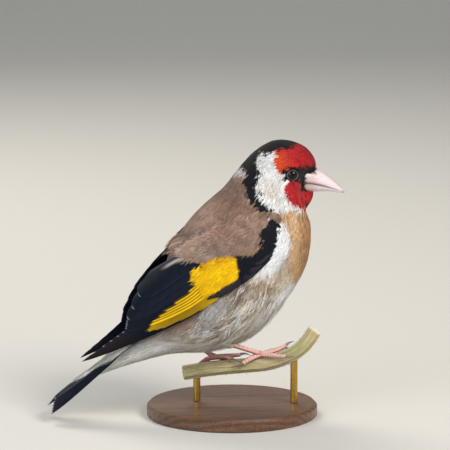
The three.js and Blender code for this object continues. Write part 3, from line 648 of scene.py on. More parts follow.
def layCoat():
    roots = layRows()
    u, angle = np.clip(roots[:, 0], 0.0, lastSection), roots[:, 1]
    points = bodySurface(u, angle)
    x, y, z = points.T
    keep = wingCover(points) < 0.7
    keep &= np.hypot(x - eye["x"], z - eye["z"]) > coat["eyeClear"] * (np.abs(y) > 6)
    keep &= signedDistance(x, z, billRoot) > 0.25
    u, angle, points = u[keep], angle[keep], points[keep]
    low = math.pi - np.abs(np.mod(angle + math.pi, math.tau) - math.pi)
    side = np.sign(np.sin(angle))
    length = catmull(coat["length"], u) * rng.uniform(0.85, 1.15, len(u))
    width = catmull(coat["width"], u) * rng.uniform(0.9, 1.15, len(u))
    perU, perAngle = bodyStretch(u, angle)
    soft = smoothstep(8.5, 10.5, u) * (1 - smoothstep(1.5, 1.9, low))  # loose flank and belly feathers
    turn = rng.normal(0, 0.07 + 0.16 * soft, len(u)) + 0.10 * side * waviness(points, 8.0, 21) * (0.4
        + soft)
    forward, sideways = directions(turn, perU, perAngle)
    seen = bodySurface(np.minimum(u + 0.7 * length / perU, lastSection + 0.6), angle)
    tip = plumageAt(seen, np.minimum(u + 0.7 * length / perU, 16.4), angle)
    # painted shade: the roots are darker than the tips, less so in pale plumage, for the shade under the
    # overlapping rows
    root = tip * (0.4 + 0.3 * smoothstep(0.15, 0.6, tip.mean(1)))[:, None] + 0.008
    depth = coatDepth(u)
    lift = rng.normal(-0.06, 0.05 + 0.10 * soft, len(u)) - 0.1
    lift += 0.3 * smoothstep(2.8, 1.4, u)
    lift += 1.0 * smoothstep(1.7, 0.9, low) * edgeNearness(points)  # flank feathers lap over the wing's edge
    total = 0
    zones = (("faceCoat", u < 3.2, 6, 0.12, "head_plumage"), ("neckCoat", (u >= 3.2) & (u < 6.6), 8, 0.14,
        "collar_plumage"), ("backCoat", (u >= 6.6) & (low > 1.75), 16, 0.14, "body_plumage"),
        ("breastCoat", (u >= 6.6) & (low <= 1.75), 17, 0.22, "body_plumage"))
    for name, zone, blades, fray, slotName in zones:
        short = coat["faceLength"] if name == "faceCoat" else 1.0
        part = tuftBlades(bodySurface, u[zone], angle[zone], [f[zone] for f in forward],
            [f[zone] for f in sideways], length[zone] * short, width[zone], -depth[zone], lift[zone],
            root[zone], tip[zone], blades=blades, fray=fray, patchOf=skinPatch)
        total += coatPieces(name, [part], bodyOutward, downyPlumage)
    return total


wisps = {"count": 520, "length": [6.5, 11.0], "width": 1.1, "blades": 5}


def layWisps():
    # long loose barbs over the flank and belly that stray from their neighbours
    n = wisps["count"]
    u, low = rng.uniform(9.6, 13.6, n), rng.uniform(0.0, 1.25, n)
    side = rng.choice([-1, 1], n)
    angle = math.pi - side * low
    points = bodySurface(u, angle)
    keep = wingCover(points) < 0.1
    u, angle, points, side = u[keep], angle[keep], points[keep], side[keep]
    n = len(u)
    turn = rng.normal(0, 0.3, n)
    colour = mixed(tint["breastWhite"], tint["belly"], rng.uniform(0, 1, n))
    colour = tinted(colour, "flank", 0.8 * (rng.uniform(0, 1, n) > 0.7))
    # painted shade: the roots a fifth darker than the tips
    part = tuftBlades(bodySurface, u, angle, *directions(turn, *bodyStretch(u, angle)),
        rng.uniform(*wisps["length"], n), rng.uniform(0.5, 1.3, n) * wisps["width"], -0.4,
        rng.uniform(0.1, 0.9, n), colour * 0.8, colour, blades=wisps["blades"], fray=0.25, fullness=0.45,
        patchOf=skinPatch)
    return coatPieces("wisps", [part], bodyOutward, downyPlumage)


print("coat triangles", layCoat() + layWisps())


# Firm feathers of wings and tail: each is a thin closed vane with a raised shaft and slanting barbs.

def vaneMaterial():
    material, add, shader = newMaterial("flightVane", {"Roughness": 0.55, "Specular IOR Level": 0.1,
        "Sheen Weight": 0.02, "Sheen Tint": colour4("#8FA6DA"), "Coat Weight": 0.04,
        "Coat Roughness": 0.45})
    place = add("UVMap", uv_map="vane")
    parts = add("SeparateXYZ", {"Vector": (place, "UV")})
    across = add("Math", {0: (parts, "X")}, operation="ABSOLUTE")
    slant = add("Math", {0: across, 1: -1.1, 2: (parts, "Y")}, operation="MULTIPLY_ADD")
    # barbs drawn 0.42 mm apart, coarser than the real ones so that they show
    count = add("Math", {0: slant, 1: math.tau / 0.42}, operation="MULTIPLY")
    barbs = add("Math", {0: count}, operation="SINE")
    body = add("TexCoord")
    wear = add("TexNoise", {"Vector": (body, "Object"), "Scale": 700.0, "Detail": 4.0})
    depth = add("Math", {0: barbs, 1: 0.3, 2: wear}, operation="MULTIPLY_ADD")
    dress(add, shader, variedPlumage(add, depth, 0.1, 0.9, 0.82, 1.16), depth, 0.35, 0.00012)
    return material


flightVane = vaneMaterial()  # hooked barbs, so smoother than down, with a faint blue bloom

# the blue #17223A is painted sheen, laid along the black feathers' edges
wingShades = {
    "black": "#070F1C", "brownBlack": "#1A1315", "edgeStrip": "#2E292F", "yellow": "#FFCE00",
    "yellowDeep": "#EBAE00", "wornTip": "#B5AFA8", "palePink": "#B9A89F", "tailBlack": "#0A101D",
    "tailTip": "#CFCBC4", "tailSpot": "#DDDBD5", "paintedSheenNavy": "#17223A",
}
wingTint = tintsOf(wingShades)
yellowBases = [(29, 1.4), (35.1, 1.2), (37.4, 0.5), (44.3, -0.3), (50.5, -1.3), (54.4, -3.0), (49.6, -4.7),
    (40.9, -5.5), (33.0, -6.0), (29, -5.5)]
brownEdge = np.array([[-2, 2.7], [1.8, 2.1], [6.7, 1.2], [10.8, 0.2], [14.1, -0.3], [16.4, 0.0],
    [18.0, 2.0], [19.6, 3.2], [22.5, 4.7], [26.1, 5.5], [28.9, 5.6], [31.2, 7.2], [33.2, 9.0], [35, 11.4]])


# width at the root, where the tip's rounding begins, and how pointed it is
vaneForms = {
    "flight": [0.6, 0.35, 2.0, 0.75], "round": [0.7, 0.62, 2.3, 0.55], "covert": [0.7, 0.6, 2.2, 0.6],
}


def vaneShape(t, form):
    # half width along the vane as a share of its widest
    root, bend, power, point = vaneForms[form]
    over = np.clip((t - bend) / (1 - bend), 0, 1)
    return (root + (1 - root) * smoothstep(0, 0.3, t)) * np.maximum(0.02, 1 - over ** power) ** point


class Atlas:
    # gives each firm feather a cell of its own in the bake map
    def __init__(self, columns, rows):
        self.columns, self.rows, self.used = columns, rows, 0

    def cell(self, share):
        column, row = self.used % self.columns, self.used // self.columns % self.rows
        self.used += 1
        return (np.array([column, row]) + 0.06 + 0.88 * share) / np.array([self.columns, self.rows])


def vane(surface, root, tip, half, height, atlas, colourOf, bow=0.0, curl=0.0, tilt=0.16, form="flight",
        shaft=0.0, rows=26, columns=8, thick=0.14, notch=0.0):
    # one feather as points, quads, colours, place along and across, and its bake cell
    t = np.linspace(0, 1, rows + 1)[:, None]
    s = np.linspace(-1, 1, columns + 1)[None, :]
    t = 1 - (1 - t) ** 1.5
    width = half * vaneShape(t, form)
    axis = np.array([tip[0] - root[0], tip[1] - root[1]])
    length = float(np.hypot(*axis))
    axis = axis / length
    bend = bow * 4 * t * (1 - t)
    edgeWave = 0.02 * length * notch * rng.normal(0, 1, (rows + 1, 1)) * (np.abs(s) > 0.99)
    offset = width * s + bend + edgeWave
    a = root[0] + (tip[0] - root[0]) * t - axis[1] * offset
    c = root[1] + (tip[1] - root[1]) * t + axis[0] * offset
    ridge = 0.07 * np.exp(-((s - shaft) / 0.1) ** 2) * (1 - 0.7 * t)
    h = height + curl * t * t - tilt * s * width / half + ridge - 0.10 * (s - shaft) ** 2 * (1 - 0.4 * t)
    top = surface(a.ravel(), c.ravel(), np.broadcast_to(h, a.shape).ravel())
    under = surface(a.ravel(), c.ravel(), (h - thick).ravel())
    count = (rows + 1) * (columns + 1)
    index = np.arange(count).reshape(rows + 1, columns + 1)
    sheet = gridFaces(rows + 1, columns + 1, False)
    rim = np.concatenate([index[0, :], index[1:, -1], index[-1, -2::-1], index[-2:0:-1, 0]])
    nextRim = np.roll(rim, -1)
    wall = np.stack([rim, rim + count, nextRim + count, nextRim], -1)
    faces = np.concatenate([sheet, sheet[:, ::-1] + count, wall])
    tt, ss = ((k * np.ones(a.shape)).ravel() for k in (t, s))
    colours = colourOf(a.ravel(), c.ravel(), tt, ss)
    local = np.stack([(offset - bend).ravel(), tt * length], -1)
    cell = atlas.cell(np.stack([(ss + 1) / 2, tt], -1))
    # the under face takes the colours darkened by a fifth, as painted shade
    return (np.vstack([top, under]), faces, np.vstack([colours, colours * 0.8]), np.vstack([local, local]),
        np.vstack([cell, cell]))


def joinVanes(name, vanes, flip, replaced=()):
    points, faces, colours, local, cell = joined(vanes, (1,), (2, 3, 4))
    return meshPiece(name, points, [faces[:, ::-1] if flip else faces], flightVane, replaced,
        np.clip(colours, 0, 1), {"OFBake": cell, "vane": local})


def flightColour(kind, wornWidth=0.0):
    # black with the yellow bases, browner towards the primaries' tips, with a painted blue sheen along one
    # edge and a painted shadow line along the yellow's other edge
    def at(a, c, t, s):
        streak = 0.35 * np.sin(t * 60 + s * 9) + rng.normal(0, 0.12, len(a))
        yellow = mixed(wingTint["yellow"], wingTint["yellowDeep"], np.clip(0.25 + 0.3 * streak, 0, 1))
        dark = mixed(wingTint["black"], wingTint["brownBlack"], smoothstep(54, 66, a) * (kind == "primary"))
        inYellow = signedDistance(a, c + 0.15 * streak, yellowBases) < 0
        # painted sheen: a blue line along one edge of each black feather
        dark = mixed(dark, wingTint["paintedSheenNavy"], 0.8 * smoothstep(0.84, 0.95, s))
        # painted shadow: a dark line along one edge of the yellow, between the overlapping feathers
        yellow = mixed(yellow, wingTint["black"], 0.85 * smoothstep(0.86, 0.96, -s))
        colour = mixed(dark, yellow, inYellow)
        worn = smoothstep(1 - wornWidth, 1.0, t + 0.02 * streak) if wornWidth else np.zeros(len(a))
        return mixed(colour, wingTint["wornTip"], 0.8 * worn)
    return at


def plainColour(shade, edge=None, edgeFrom=0.8, sides=False):
    def at(a, c, t, s):
        colour = shade * (1 + rng.normal(0, 0.05, (len(a), 1)))
        if edge is None:
            return colour
        rim = smoothstep(edgeFrom, 1.0, np.maximum(t, np.abs(s) * (0.95 if sides else 0)))
        return mixed(colour, edge, rim)
    return at


def paleTertial(a, c, t, s):
    # the innermost tertial, whose outer edge is pale near its root
    colour = tertialColour(a, c, t, s)
    pale = smoothstep(0.05, -0.05, np.abs(s - 0.55) - 0.26 * (1 - t / 0.55))
    return mixed(colour, wingTint["palePink"], pale)


def tertialColour(a, c, t, s):
    # painted sheen: a blue line along both edges of each tertial, with faint bands of it across the vane
    colour = mixed(wingTint["black"], wingTint["paintedSheenNavy"], 0.9 * smoothstep(0.86, 0.97, np.abs(s))
        + 0.1 * np.sin(t * 40 + 5 * s))
    return mixed(colour, wingTint["wornTip"], 0.7 * smoothstep(0.982, 1.0, t))


# the wing's firm feathers, row by row; a pair of values runs from a row's first feather to its last
wingRows = {
    "primary": {"count": 8, "rootA": [24, 29], "rootC": [-4.7, -1.7], "tipC": [-0.5, 0.2],
        "tipA": [77.6, 77.0, 75.6, 72.6, 69.2, 66.2, 63.4, 61.2], "half": [1.75, 2.3], "height": [0.0, 0.5],
        "bow": [-1.2, -0.5], "shaft": -0.5, "rows": 52, "colour": lambda i: flightColour("primary",
        0.02 if i > 3 else 0.012)},
    "secondary": {"count": 5, "rootA": 29, "rootC": [-0.9, 3.0], "tipA": [59.6, 57.8], "tipC": [0.7, 2.2],
        "half": [2.4, 2.8], "height": [0.58, 0.78], "bow": [-0.2, 0.2], "shaft": -0.35, "rows": 40,
        "colour": lambda i: flightColour("secondary", 0.015)},
    "tertial": {"count": 3, "rootA": [28, 27], "rootC": [4.0, 8.2], "tipA": [57.0, 53.6, 49.6],
        "tipC": [2.6, 4.4, 6.4], "half": [2.9, 2.8], "height": [0.95, 1.3], "bow": [0.4, 0.5],
        "shaft": -0.1, "form": "round", "rows": 36, "columns": 10, "colour": lambda i: paleTertial if i == 2
        else tertialColour},
    "greater": {"count": 9, "rootA": [18, 20], "rootC": [-1.8, 5.4], "tipA": [31.0, 34.4],
        "tipC": [-2.2, 5.6], "half": [1.25, 1.5], "height": [0.72, 1.1], "form": "covert", "rows": 20,
        "notch": 0.6, "uneven": 0.5, "colour": lambda i: plainColour(wingTint["yellow"],
        wingTint["yellowDeep"], 0.55, sides=True)},
    "primaryCovert": {"count": 4, "rootA": [13, 17], "rootC": [-5.0, -3.7], "tipA": [29.0, 32.5],
        "tipC": [-5.2, -4.0], "half": 0.95, "height": [0.5, 0.66], "form": "covert", "rows": 20,
        "columns": 6, "colour": lambda i: plainColour(wingTint["edgeStrip"])},
    "alula": {"count": 3, "rootA": [5, 4], "rootC": [-3.6, -2.4], "tipA": [20.5, 14.0],
        "tipC": [-5.3, -3.4], "half": 1.25, "height": [0.1, 0.3], "curl": 1.0, "form": "covert", "rows": 18,
        "colour": lambda i: plainColour(wingTint["edgeStrip"], wingTint["black"], 0.7, sides=True)},
}


def makeWing(name, side):
    surface, atlas, vanes = wingSurface(side), Atlas(10, 7), []
    for row in wingRows.values():
        for i in range(row["count"]):
            def at(key, i=i, row=row):
                value = row.get(key, 0.0)
                if not isinstance(value, list):
                    return value
                return value[i] if len(value) > 2 else even(*value, i, row["count"])

            root, tip = [at("rootA"), at("rootC")], [at("tipA"), at("tipC")]
            tip[0] += row.get("uneven", 0) * math.sin(i * 2.4)
            given = {key: row[key] for key in ("form", "rows", "columns", "notch", "curl", "shaft")
                if key in row}
            vanes.append(vane(surface, root, tip, at("half"), at("height"), atlas, row["colour"](i),
                bow=at("bow"), **given))
    return joinVanes("wingFeathers" + name, vanes, side > 0, ("wing_" + name.lower(),))


armForm = {
    "start": 0.0, "end": 38.0, "low": [0.9, -4.2, -5.4, -4.4, -4.0, -4.0],
    "high": [1.6, 6.6, 9.6, 10.2, 9.0, 6.8], "top": [-0.6, 0.5, 0.6, 0.5, 0.3, 0.2], "inner": -3.0,
}


def wingPatch(shift):
    def at(a, c):
        return np.stack([shift + 0.42 * (np.asarray(c) + 10) / 26, 0.05 + 0.9 * np.asarray(a) / 80], -1)
    return at


def armColour(a, c):
    brown = c > np.interp(a, brownEdge[:, 0], brownEdge[:, 1])
    # painted shade: the sheet under the coverts is darkened to 0.6
    return mixed(wingTint["black"], tint["mantle"], brown) * 0.6


def makeArm(name, side):
    # the sheet under the small coverts, a closed plate sunk into the body
    surface = wingSurface(side)
    count, across = 44, 22
    t = np.linspace(0, 1, count + 1)
    a = armForm["start"] + (armForm["end"] - armForm["start"]) * t
    low, high, top = (catmull(armForm[key], 5 * t) for key in ("low", "high", "top"))
    share = np.linspace(0, 1, across + 1)
    c = low[:, None] + (high - low)[:, None] * share
    aa = np.broadcast_to(a[:, None], c.shape)
    ring = np.concatenate([c, c[:, ::-1]], 1)
    heights = np.concatenate([np.broadcast_to(top[:, None], c.shape), np.full(c.shape, armForm["inner"])],
        1)
    ringA = np.concatenate([aa, aa], 1)
    points = surface(ringA.ravel(), ring.ravel(), heights.ravel())
    width = ring.shape[1]
    index = np.arange(len(points)).reshape(count + 1, width)
    quads = gridFaces(count + 1, width)
    caps = [np.stack([index[row, :across], index[row, 1:across + 1],
        index[row, width - 2:width - 2 - across:-1], index[row, width - 1:width - 1 - across:-1]], -1)
        for row in (0, -1)]
    faces = np.concatenate([quads[:, ::-1], caps[0], caps[1][:, ::-1]])
    if side > 0:
        faces = faces[:, ::-1]
    meshPiece("wingArm" + name, points, [faces], skinUnderDown,
        colours=armColour(ringA.ravel(), ring.ravel()),
        uv={"OFBake": wingPatch(0.04)(ringA.ravel(), ring.ravel())})


wingDown = {
    "lesser": {"length": 3.2, "width": 1.7, "stepA": 0.7, "stepC": 0.5, "blades": 12},
    "greater": {"length": 6.2, "width": 1.9, "stepA": 1.1, "stepC": 0.42, "blades": 12},
    "scapular": {"length": 5.6, "width": 2.6, "stepA": 0.72, "stepC": 0.6, "blades": 16},
}


def makeWingDown(name, side):
    # black lesser and median coverts at the bend of the wing, and the brown scapulars over its upper part
    surface = wingSurface(side)
    for kind, look in wingDown.items():
        a, c = scattered(np.arange(-2.6, 33.0, look["stepA"]), np.arange(-6.0, 15.0, look["stepC"]),
            look["stepA"] / 2, look["stepC"] / 2)
        tipA = a + look["length"]
        edge = np.interp(tipA, brownEdge[:, 0], brownEdge[:, 1])
        if kind == "lesser":
            low = np.interp(a, [-1, 2, 5, 8, 12, 18], [1.4, -1.2, -2.4, -2.2, -2.6, -3.0])
            keep = (a > -0.9) & (c > low) & (c < edge + 2.2) & (tipA < np.interp(c, [-4, -1, 1],
                [21.5, 19.5, 18.0]))
        elif kind == "greater":
            lower = np.interp(tipA, [20, 24, 31, 33], [-1.4, -2.4, -2.6, -2.0])
            keep = (a > 15) & (a < 27.6) & (c > lower) & (c < 5.2) & (tipA < np.interp(c, [-4, 1, 5.5],
                [31.8, 34.2, 34.8]))
        else:
            high = np.interp(a, [-2.5, 4, 10, 20, 27, 33], [5.0, 9.8, 13.0, 14.2, 13.8, 12.0])
            keep = (c > edge + 1.2) & (c < high) & (tipA < 34.5)
        a, c, tipA = a[keep], c[keep], tipA[keep]
        count = len(a)
        turn = rng.normal(-0.05 if kind == "scapular" else -0.12, 0.07, count)
        base = wingBase(a, c)
        spots = base * np.array([1, side, 1])
        slow, fine = waviness(spots, 9.0, 5), waviness(spots, 2.6, 9)
        if kind == "lesser":
            rise = np.interp(a, [-1, 4, 20], [0.35, 1.0, 1.2])
            tipColour = wingTint["black"] * (1 + rng.normal(0, 0.08, (count, 1)))
        elif kind == "greater":
            rise = np.interp(c, [-4, 5], [0.95, 1.35])
            tipColour = mixed(wingTint["yellow"], wingTint["yellowDeep"], rng.uniform(0, 0.7, count))
            browned = smoothstep(-2.2, -0.2, c - np.interp(tipA, brownEdge[:, 0],
                brownEdge[:, 1])) * rng.uniform(0.2, 1, count)
            tipColour = mixed(tipColour, linearOf("#A8741F"), 0.7 * browned)
        else:
            rise = np.interp(a, [-2.6, 1, 8, 24, 34], [-0.3, 0.5, 1.4, 1.65, 1.5]) * (1
                - smoothstep(8.5, 13, c))
            rise -= smoothstep(11, 14.2, c)
            tipColour = mantleColour(base, slow, fine, rng.uniform(-1, 1, count) * 0.8
                + 0.5 * np.sin(c * 4.5 + 0.6 * a))
        # painted shade: the roots darker than the tips, most under the black lesser coverts
        part = tuftBlades(surface, a, c, *directions(turn), look["length"] * rng.uniform(0.85, 1.15, count),
            look["width"] * rng.uniform(0.9, 1.1, count), 0.2, rise + rng.normal(0, 0.06, count),
            tipColour * (0.45 if kind == "lesser" else 0.75), tipColour, blades=look["blades"], fray=0.13,
            shaft=0.1 if kind == "greater" else 0.25, patchOf=wingPatch(0.05 if kind == "scapular"
            else 0.52))
        outward = lambda points: np.array([0, side, 0]) + 0.02 * (points - np.array([-10, 0, 45]))
        coatPieces(kind + "Down" + name, [part], outward, downyPlumage)


for sideName, side in sides.items():
    makeWing(sideName, side)
    makeArm(sideName, side)
    makeWingDown(sideName, side)
print("wings made")

# Tail: twelve feathers in a shallow, notched fan, the middle pair on top.

tail = {
    "root": [-36.4, 24.0], "slope": math.radians(37.2), "pairs": 6, "lengthMiddle": 28.0,
    "lengthOuter": 31.4, "rootSpread": [0.5, 2.1], "tipSpread": [1.5, 6.4], "half": 2.3, "drop": 1.8,
}


tailUp = np.array([-math.sin(tail["slope"]), 0, math.cos(tail["slope"])])


def tailPlace(a, c, h):
    # a runs from the tail's root to its tip, c to the left and h up
    back = np.array([-tailUp[2], 0, tailUp[0]])
    origin = np.array([tail["root"][0], 0, tail["root"][1]])
    return origin + a[:, None] * back + h[:, None] * tailUp + c[:, None] * np.array([0, 1, 0])


def makeTail():
    atlas = Atlas(6, 2)
    for name, side in sides.items():
        vanes = []
        for i in range(tail["pairs"]):
            share = i / (tail["pairs"] - 1)
            length = tail["lengthMiddle"] + (tail["lengthOuter"] - tail["lengthMiddle"]) * share ** 0.8
            rootY = even(*tail["rootSpread"], i, tail["pairs"])
            tipY = even(*tail["tipSpread"], i, tail["pairs"])

            def surface(a, c, h, share=share, length=length):
                return tailPlace(a, side * c, h - tail["drop"] * share * (0.4 + 0.6 * a / length))

            def colourOf(a, c, t, s, i=i):
                colour = wingTint["tailBlack"] * (1 + rng.normal(0, 0.04, (len(a), 1)))
                spot = (i >= 3) * smoothstep(-0.05, -0.2, s) * smoothstep(0.5, 0.58, t) * smoothstep(0.9,
                    0.82, t)
                colour = mixed(colour, wingTint["tailSpot"], spot)
                return mixed(colour, wingTint["tailTip"], 0.85 * smoothstep(0.972, 0.99, t) * (s < 0.6))

            vanes.append(vane(surface, [0, rootY], [length, tipY], tail["half"], 0.02 * (5 - i), atlas,
                colourOf, bow=0.35, tilt=0.2, shaft=0.25, form="round", rows=34, columns=8, thick=0.16))
        joinVanes("tailFeathers" + name, vanes, side > 0, ("tail",) if name == "Right"
            else ())


tailDown = {
    "rootFrom": -6.0, "rootTo": 6.0, "stepA": 0.8, "halfWidth": 4.6, "stepC": 0.45, "length": 7.0,
    "width": 2.0, "blades": 14,
}


def makeTailDown():
    # tail coverts: they close the root of the tail above and below, longest in the middle
    for name, face in (("upper", 1), ("under", -1)):

        def surface(a, c, h, face=face):
            fall = -tail["drop"] * np.clip(np.abs(c) / 6, 0, 1) * np.clip(0.4 + 0.02 * a, 0,
                1) - 0.2 * (face < 0)
            return tailPlace(a, c, fall + face * h)

        half = tailDown["halfWidth"]
        a, c = scattered(np.arange(tailDown["rootFrom"], tailDown["rootTo"], tailDown["stepA"]),
            np.arange(-half, half, tailDown["stepC"]), 0.4, 0.2)
        keep = a < tailDown["rootTo"] - 1.5 * np.abs(c)
        a, c = a[keep], c[keep]
        n = len(a)
        turn = 0.03 * c + rng.normal(0, 0.06, n)
        pale = rng.uniform(0, 1, n)
        tip = mixed(tint["ventWhite"], tint["rump" if face > 0 else "breastWhite"], pale)
        # painted shade: the roots darker than the tips
        part = tuftBlades(surface, a, c, *directions(turn), tailDown["length"] * rng.uniform(0.85, 1.15, n),
            tailDown["width"] * rng.uniform(0.9, 1.1, n), 0.1, 0.45 + rng.normal(0, 0.06, n), tip * 0.6,
            tip, blades=tailDown["blades"], patchOf=lambda p, q: np.stack([0.5 + 0.03 * q, 0.9 + 0.006 * p],
            -1))
        coatPieces(name + "TailDown", [part], lambda points, face=face: np.broadcast_to(tailUp * face,
            points.shape), downyPlumage)


makeTail()
makeTailDown()
print("tail made")


# Geometry Nodes: one piece set at each point of a row, turned and sized by the row's own attributes.

def newTree(name, sockets, result):
    # a geometry tree with its named inputs, and the name of what it makes
    tree = bpy.data.node_groups.new(name, "GeometryNodeTree")
    for label, kind in sockets.items():
        tree.interface.new_socket(label, in_out="INPUT", socket_type="NodeSocket" + kind)
    tree.interface.new_socket(result, in_out="OUTPUT", socket_type="NodeSocketGeometry")
    add = partial(addNode, tree)
    return tree, add, add("NodeGroupInput")


def endTree(tree, add, source, made, result):
    real = add("GeometryNodeRealizeInstances", {"Geometry": made})
    coated = add("GeometryNodeSetMaterial", {"Geometry": real, "Material": (source, "Surface")})
    add("NodeGroupOutput", {result: (coated, "Geometry")})
    return tree


def rowTree():
    tree, add, source = newTree("pieceRow", {"Row": "Geometry", "Piece": "Object", "Size spread": "Float",
        "Seed": "Int", "Surface": "Material"}, "Pieces")
    piece = add("GeometryNodeObjectInfo", {"Object": (source, "Piece")})
    turn = add("GeometryNodeInputNamedAttribute", {"Name": "turn"}, data_type="FLOAT_VECTOR")
    size = add("GeometryNodeInputNamedAttribute", {"Name": "size"}, data_type="FLOAT_VECTOR")
    low = add("Math", {0: 1.0, 1: (source, "Size spread")}, operation="SUBTRACT")
    high = add("Math", {0: 1.0, 1: (source, "Size spread")}, operation="ADD")
    vary = add("FunctionNodeRandomValue", {2: low, 3: high, "Seed": (source, "Seed")}, data_type="FLOAT")
    scale = add("VectorMath", {0: size, 1: (vary, 1)}, operation="MULTIPLY")
    place = add("GeometryNodeInstanceOnPoints", {"Points": (source, "Row"), "Instance": (piece, "Geometry"),
        "Rotation": turn, "Scale": scale})
    return endTree(tree, add, source, (place, "Instances"), "Pieces")


pieceRow = rowTree()


def nodesToMesh(name, points, edges, tree, values, attributes=None):
    # runs a tree on a small mesh and keeps what it makes as a plain mesh
    mesh = bpy.data.meshes.new(name + "Source")
    mesh.from_pydata((np.asarray(points) * mm).tolist(), edges, [])
    for key, rows in (attributes or {}).items():
        layer = mesh.attributes.new(key, "FLOAT_VECTOR", "POINT")
        layer.data.foreach_set("vector", np.asarray(rows, float).ravel())
    holder = placed(name + "Source", mesh)
    modifier = holder.modifiers.new("nodes", "NODES")
    modifier.node_group = tree
    for item in tree.interface.items_tree:
        if item.item_type == "SOCKET" and item.in_out == "INPUT" and item.name in values:
            modifier[item.identifier] = values[item.name]
    bpy.context.view_layer.update()
    graph = bpy.context.evaluated_depsgraph_get()
    made = bpy.data.meshes.new_from_object(holder.evaluated_get(graph), preserve_all_data_layers=True,
        depsgraph=graph)
    made.name = name
    holder.modifiers.remove(modifier)
    bpy.data.objects.remove(holder)
    bpy.data.meshes.remove(mesh)
    for polygon in made.polygons:
        polygon.use_smooth = True
    return made


loosePieces = []


def loosePiece(name, points, faces):
    # a small shape in units of its own size, used only as what a row repeats
    mesh = bpy.data.meshes.new(name)
    mesh.from_pydata(np.asarray(points).tolist(), [], [list(map(int, f)) for f in faces])
    loosePieces.append(bpy.data.objects.new(name, mesh))
    return loosePieces[-1]


def rowOf(name, shape, places, forwards, ups, sizes, material, slotName, spread=0.0, seed=1):
    # places in millimetres; a piece's x runs along forwards and its z along ups
    forwards, ups = unit(np.asarray(forwards, float)), np.asarray(ups, float)
    sideways = unit(np.cross(ups, forwards))
    ups = np.cross(forwards, sideways)
    turns = [Matrix((f, s, u)).transposed().to_euler() for f, s, u in zip(forwards, sideways, ups)]
    mesh = nodesToMesh(name, places, [], pieceRow, {"Piece": shape, "Size spread": spread, "Seed": seed,
        "Surface": material}, {"turn": turns, "size": np.asarray(sizes) * mm})
    return keptMesh(name, mesh)


def hairShape(name, bend, sideCount=3, steps=4):
    # a tapering hair, one unit long along x, bending toward z
    points, faces = [], []
    for k in range(steps):
        t = k / steps
        for j in range(sideCount):
            angle = math.tau * j / sideCount
            radius = 0.5 * (1 - t ** 1.5)
            points.append([t, radius * math.cos(angle), bend * t ** 2 + radius * math.sin(angle)])
            a, b = k * sideCount + j, k * sideCount + (j + 1) % sideCount
            faces.append([a, b, b + sideCount, a + sideCount] if k < steps - 1
                else [a, b, steps * sideCount])
    points.append([1, 0, bend])
    faces.append(list(range(sideCount))[::-1])
    return loosePiece(name, points, faces)


# Bill: two horny halves that close on the mouth line, with the slit-like nostril near the ridge.

bill = {
    "culmen": [[25.0, 82.3], [26.4, 81.9], [28.4, 81.1], [31.0, 79.4], [34.2, 76.5], [36.2, 74.4],
        [37.1, 73.2]],
    "mouth": [[21.6, 77.0], [24.4, 77.0], [27.2, 76.5], [29.6, 75.8], [32.6, 74.9], [35.2, 73.95],
        [37.1, 73.2]],
    "gonys": [[21.4, 73.7], [24.4, 73.6], [27.2, 73.6], [29.6, 73.7], [32.6, 73.55], [35.2, 73.2],
        [36.6, 73.0]],
    "half": [4.6, 4.25, 3.6, 2.8, 1.9, 0.95, 0.12], "rings": 60, "around": 40, "slit": 0.05,
}
billShades = {
    "horn": "#DCCFD3", "ridge": "#BFA9A8", "tip": "#8F7B7B", "edge": "#86604F", "base": "#CDB9B8",
    "darkBase": "#3A2B2B",
}
billTint = tintsOf(billShades)


def hornMaterial():
    # keratin sheath: smooth, faintly see-through, its grain running to the tip
    material, add, shader = newMaterial("billHorn", {"Roughness": 0.36, "IOR": 1.54,
        "Subsurface Weight": 0.06, "Subsurface Radius": (0.0012, 0.0006, 0.0004)})
    place = add("TexCoord")
    stretched = add("Mapping", {"Vector": (place, "Object"), "Rotation": (0, math.radians(28), 0),
        "Scale": (220, 1500, 1500)})
    grain = add("TexNoise", {"Vector": stretched, "Scale": 1.0, "Detail": 5.0})
    dress(add, shader, variedPlumage(add, grain, 0.3, 0.7, 0.9, 1.07), grain, 0.18, 0.0001)
    return material


billHorn = hornMaterial()


def nostril(x, z, length, height):
    # 1 in the middle of the nostril's slit, which slopes with the ridge
    return np.exp(-(((x - 26.9) / length) ** 2 + ((z - 80.2 + 0.35 * (x - 26.9)) / height) ** 2))


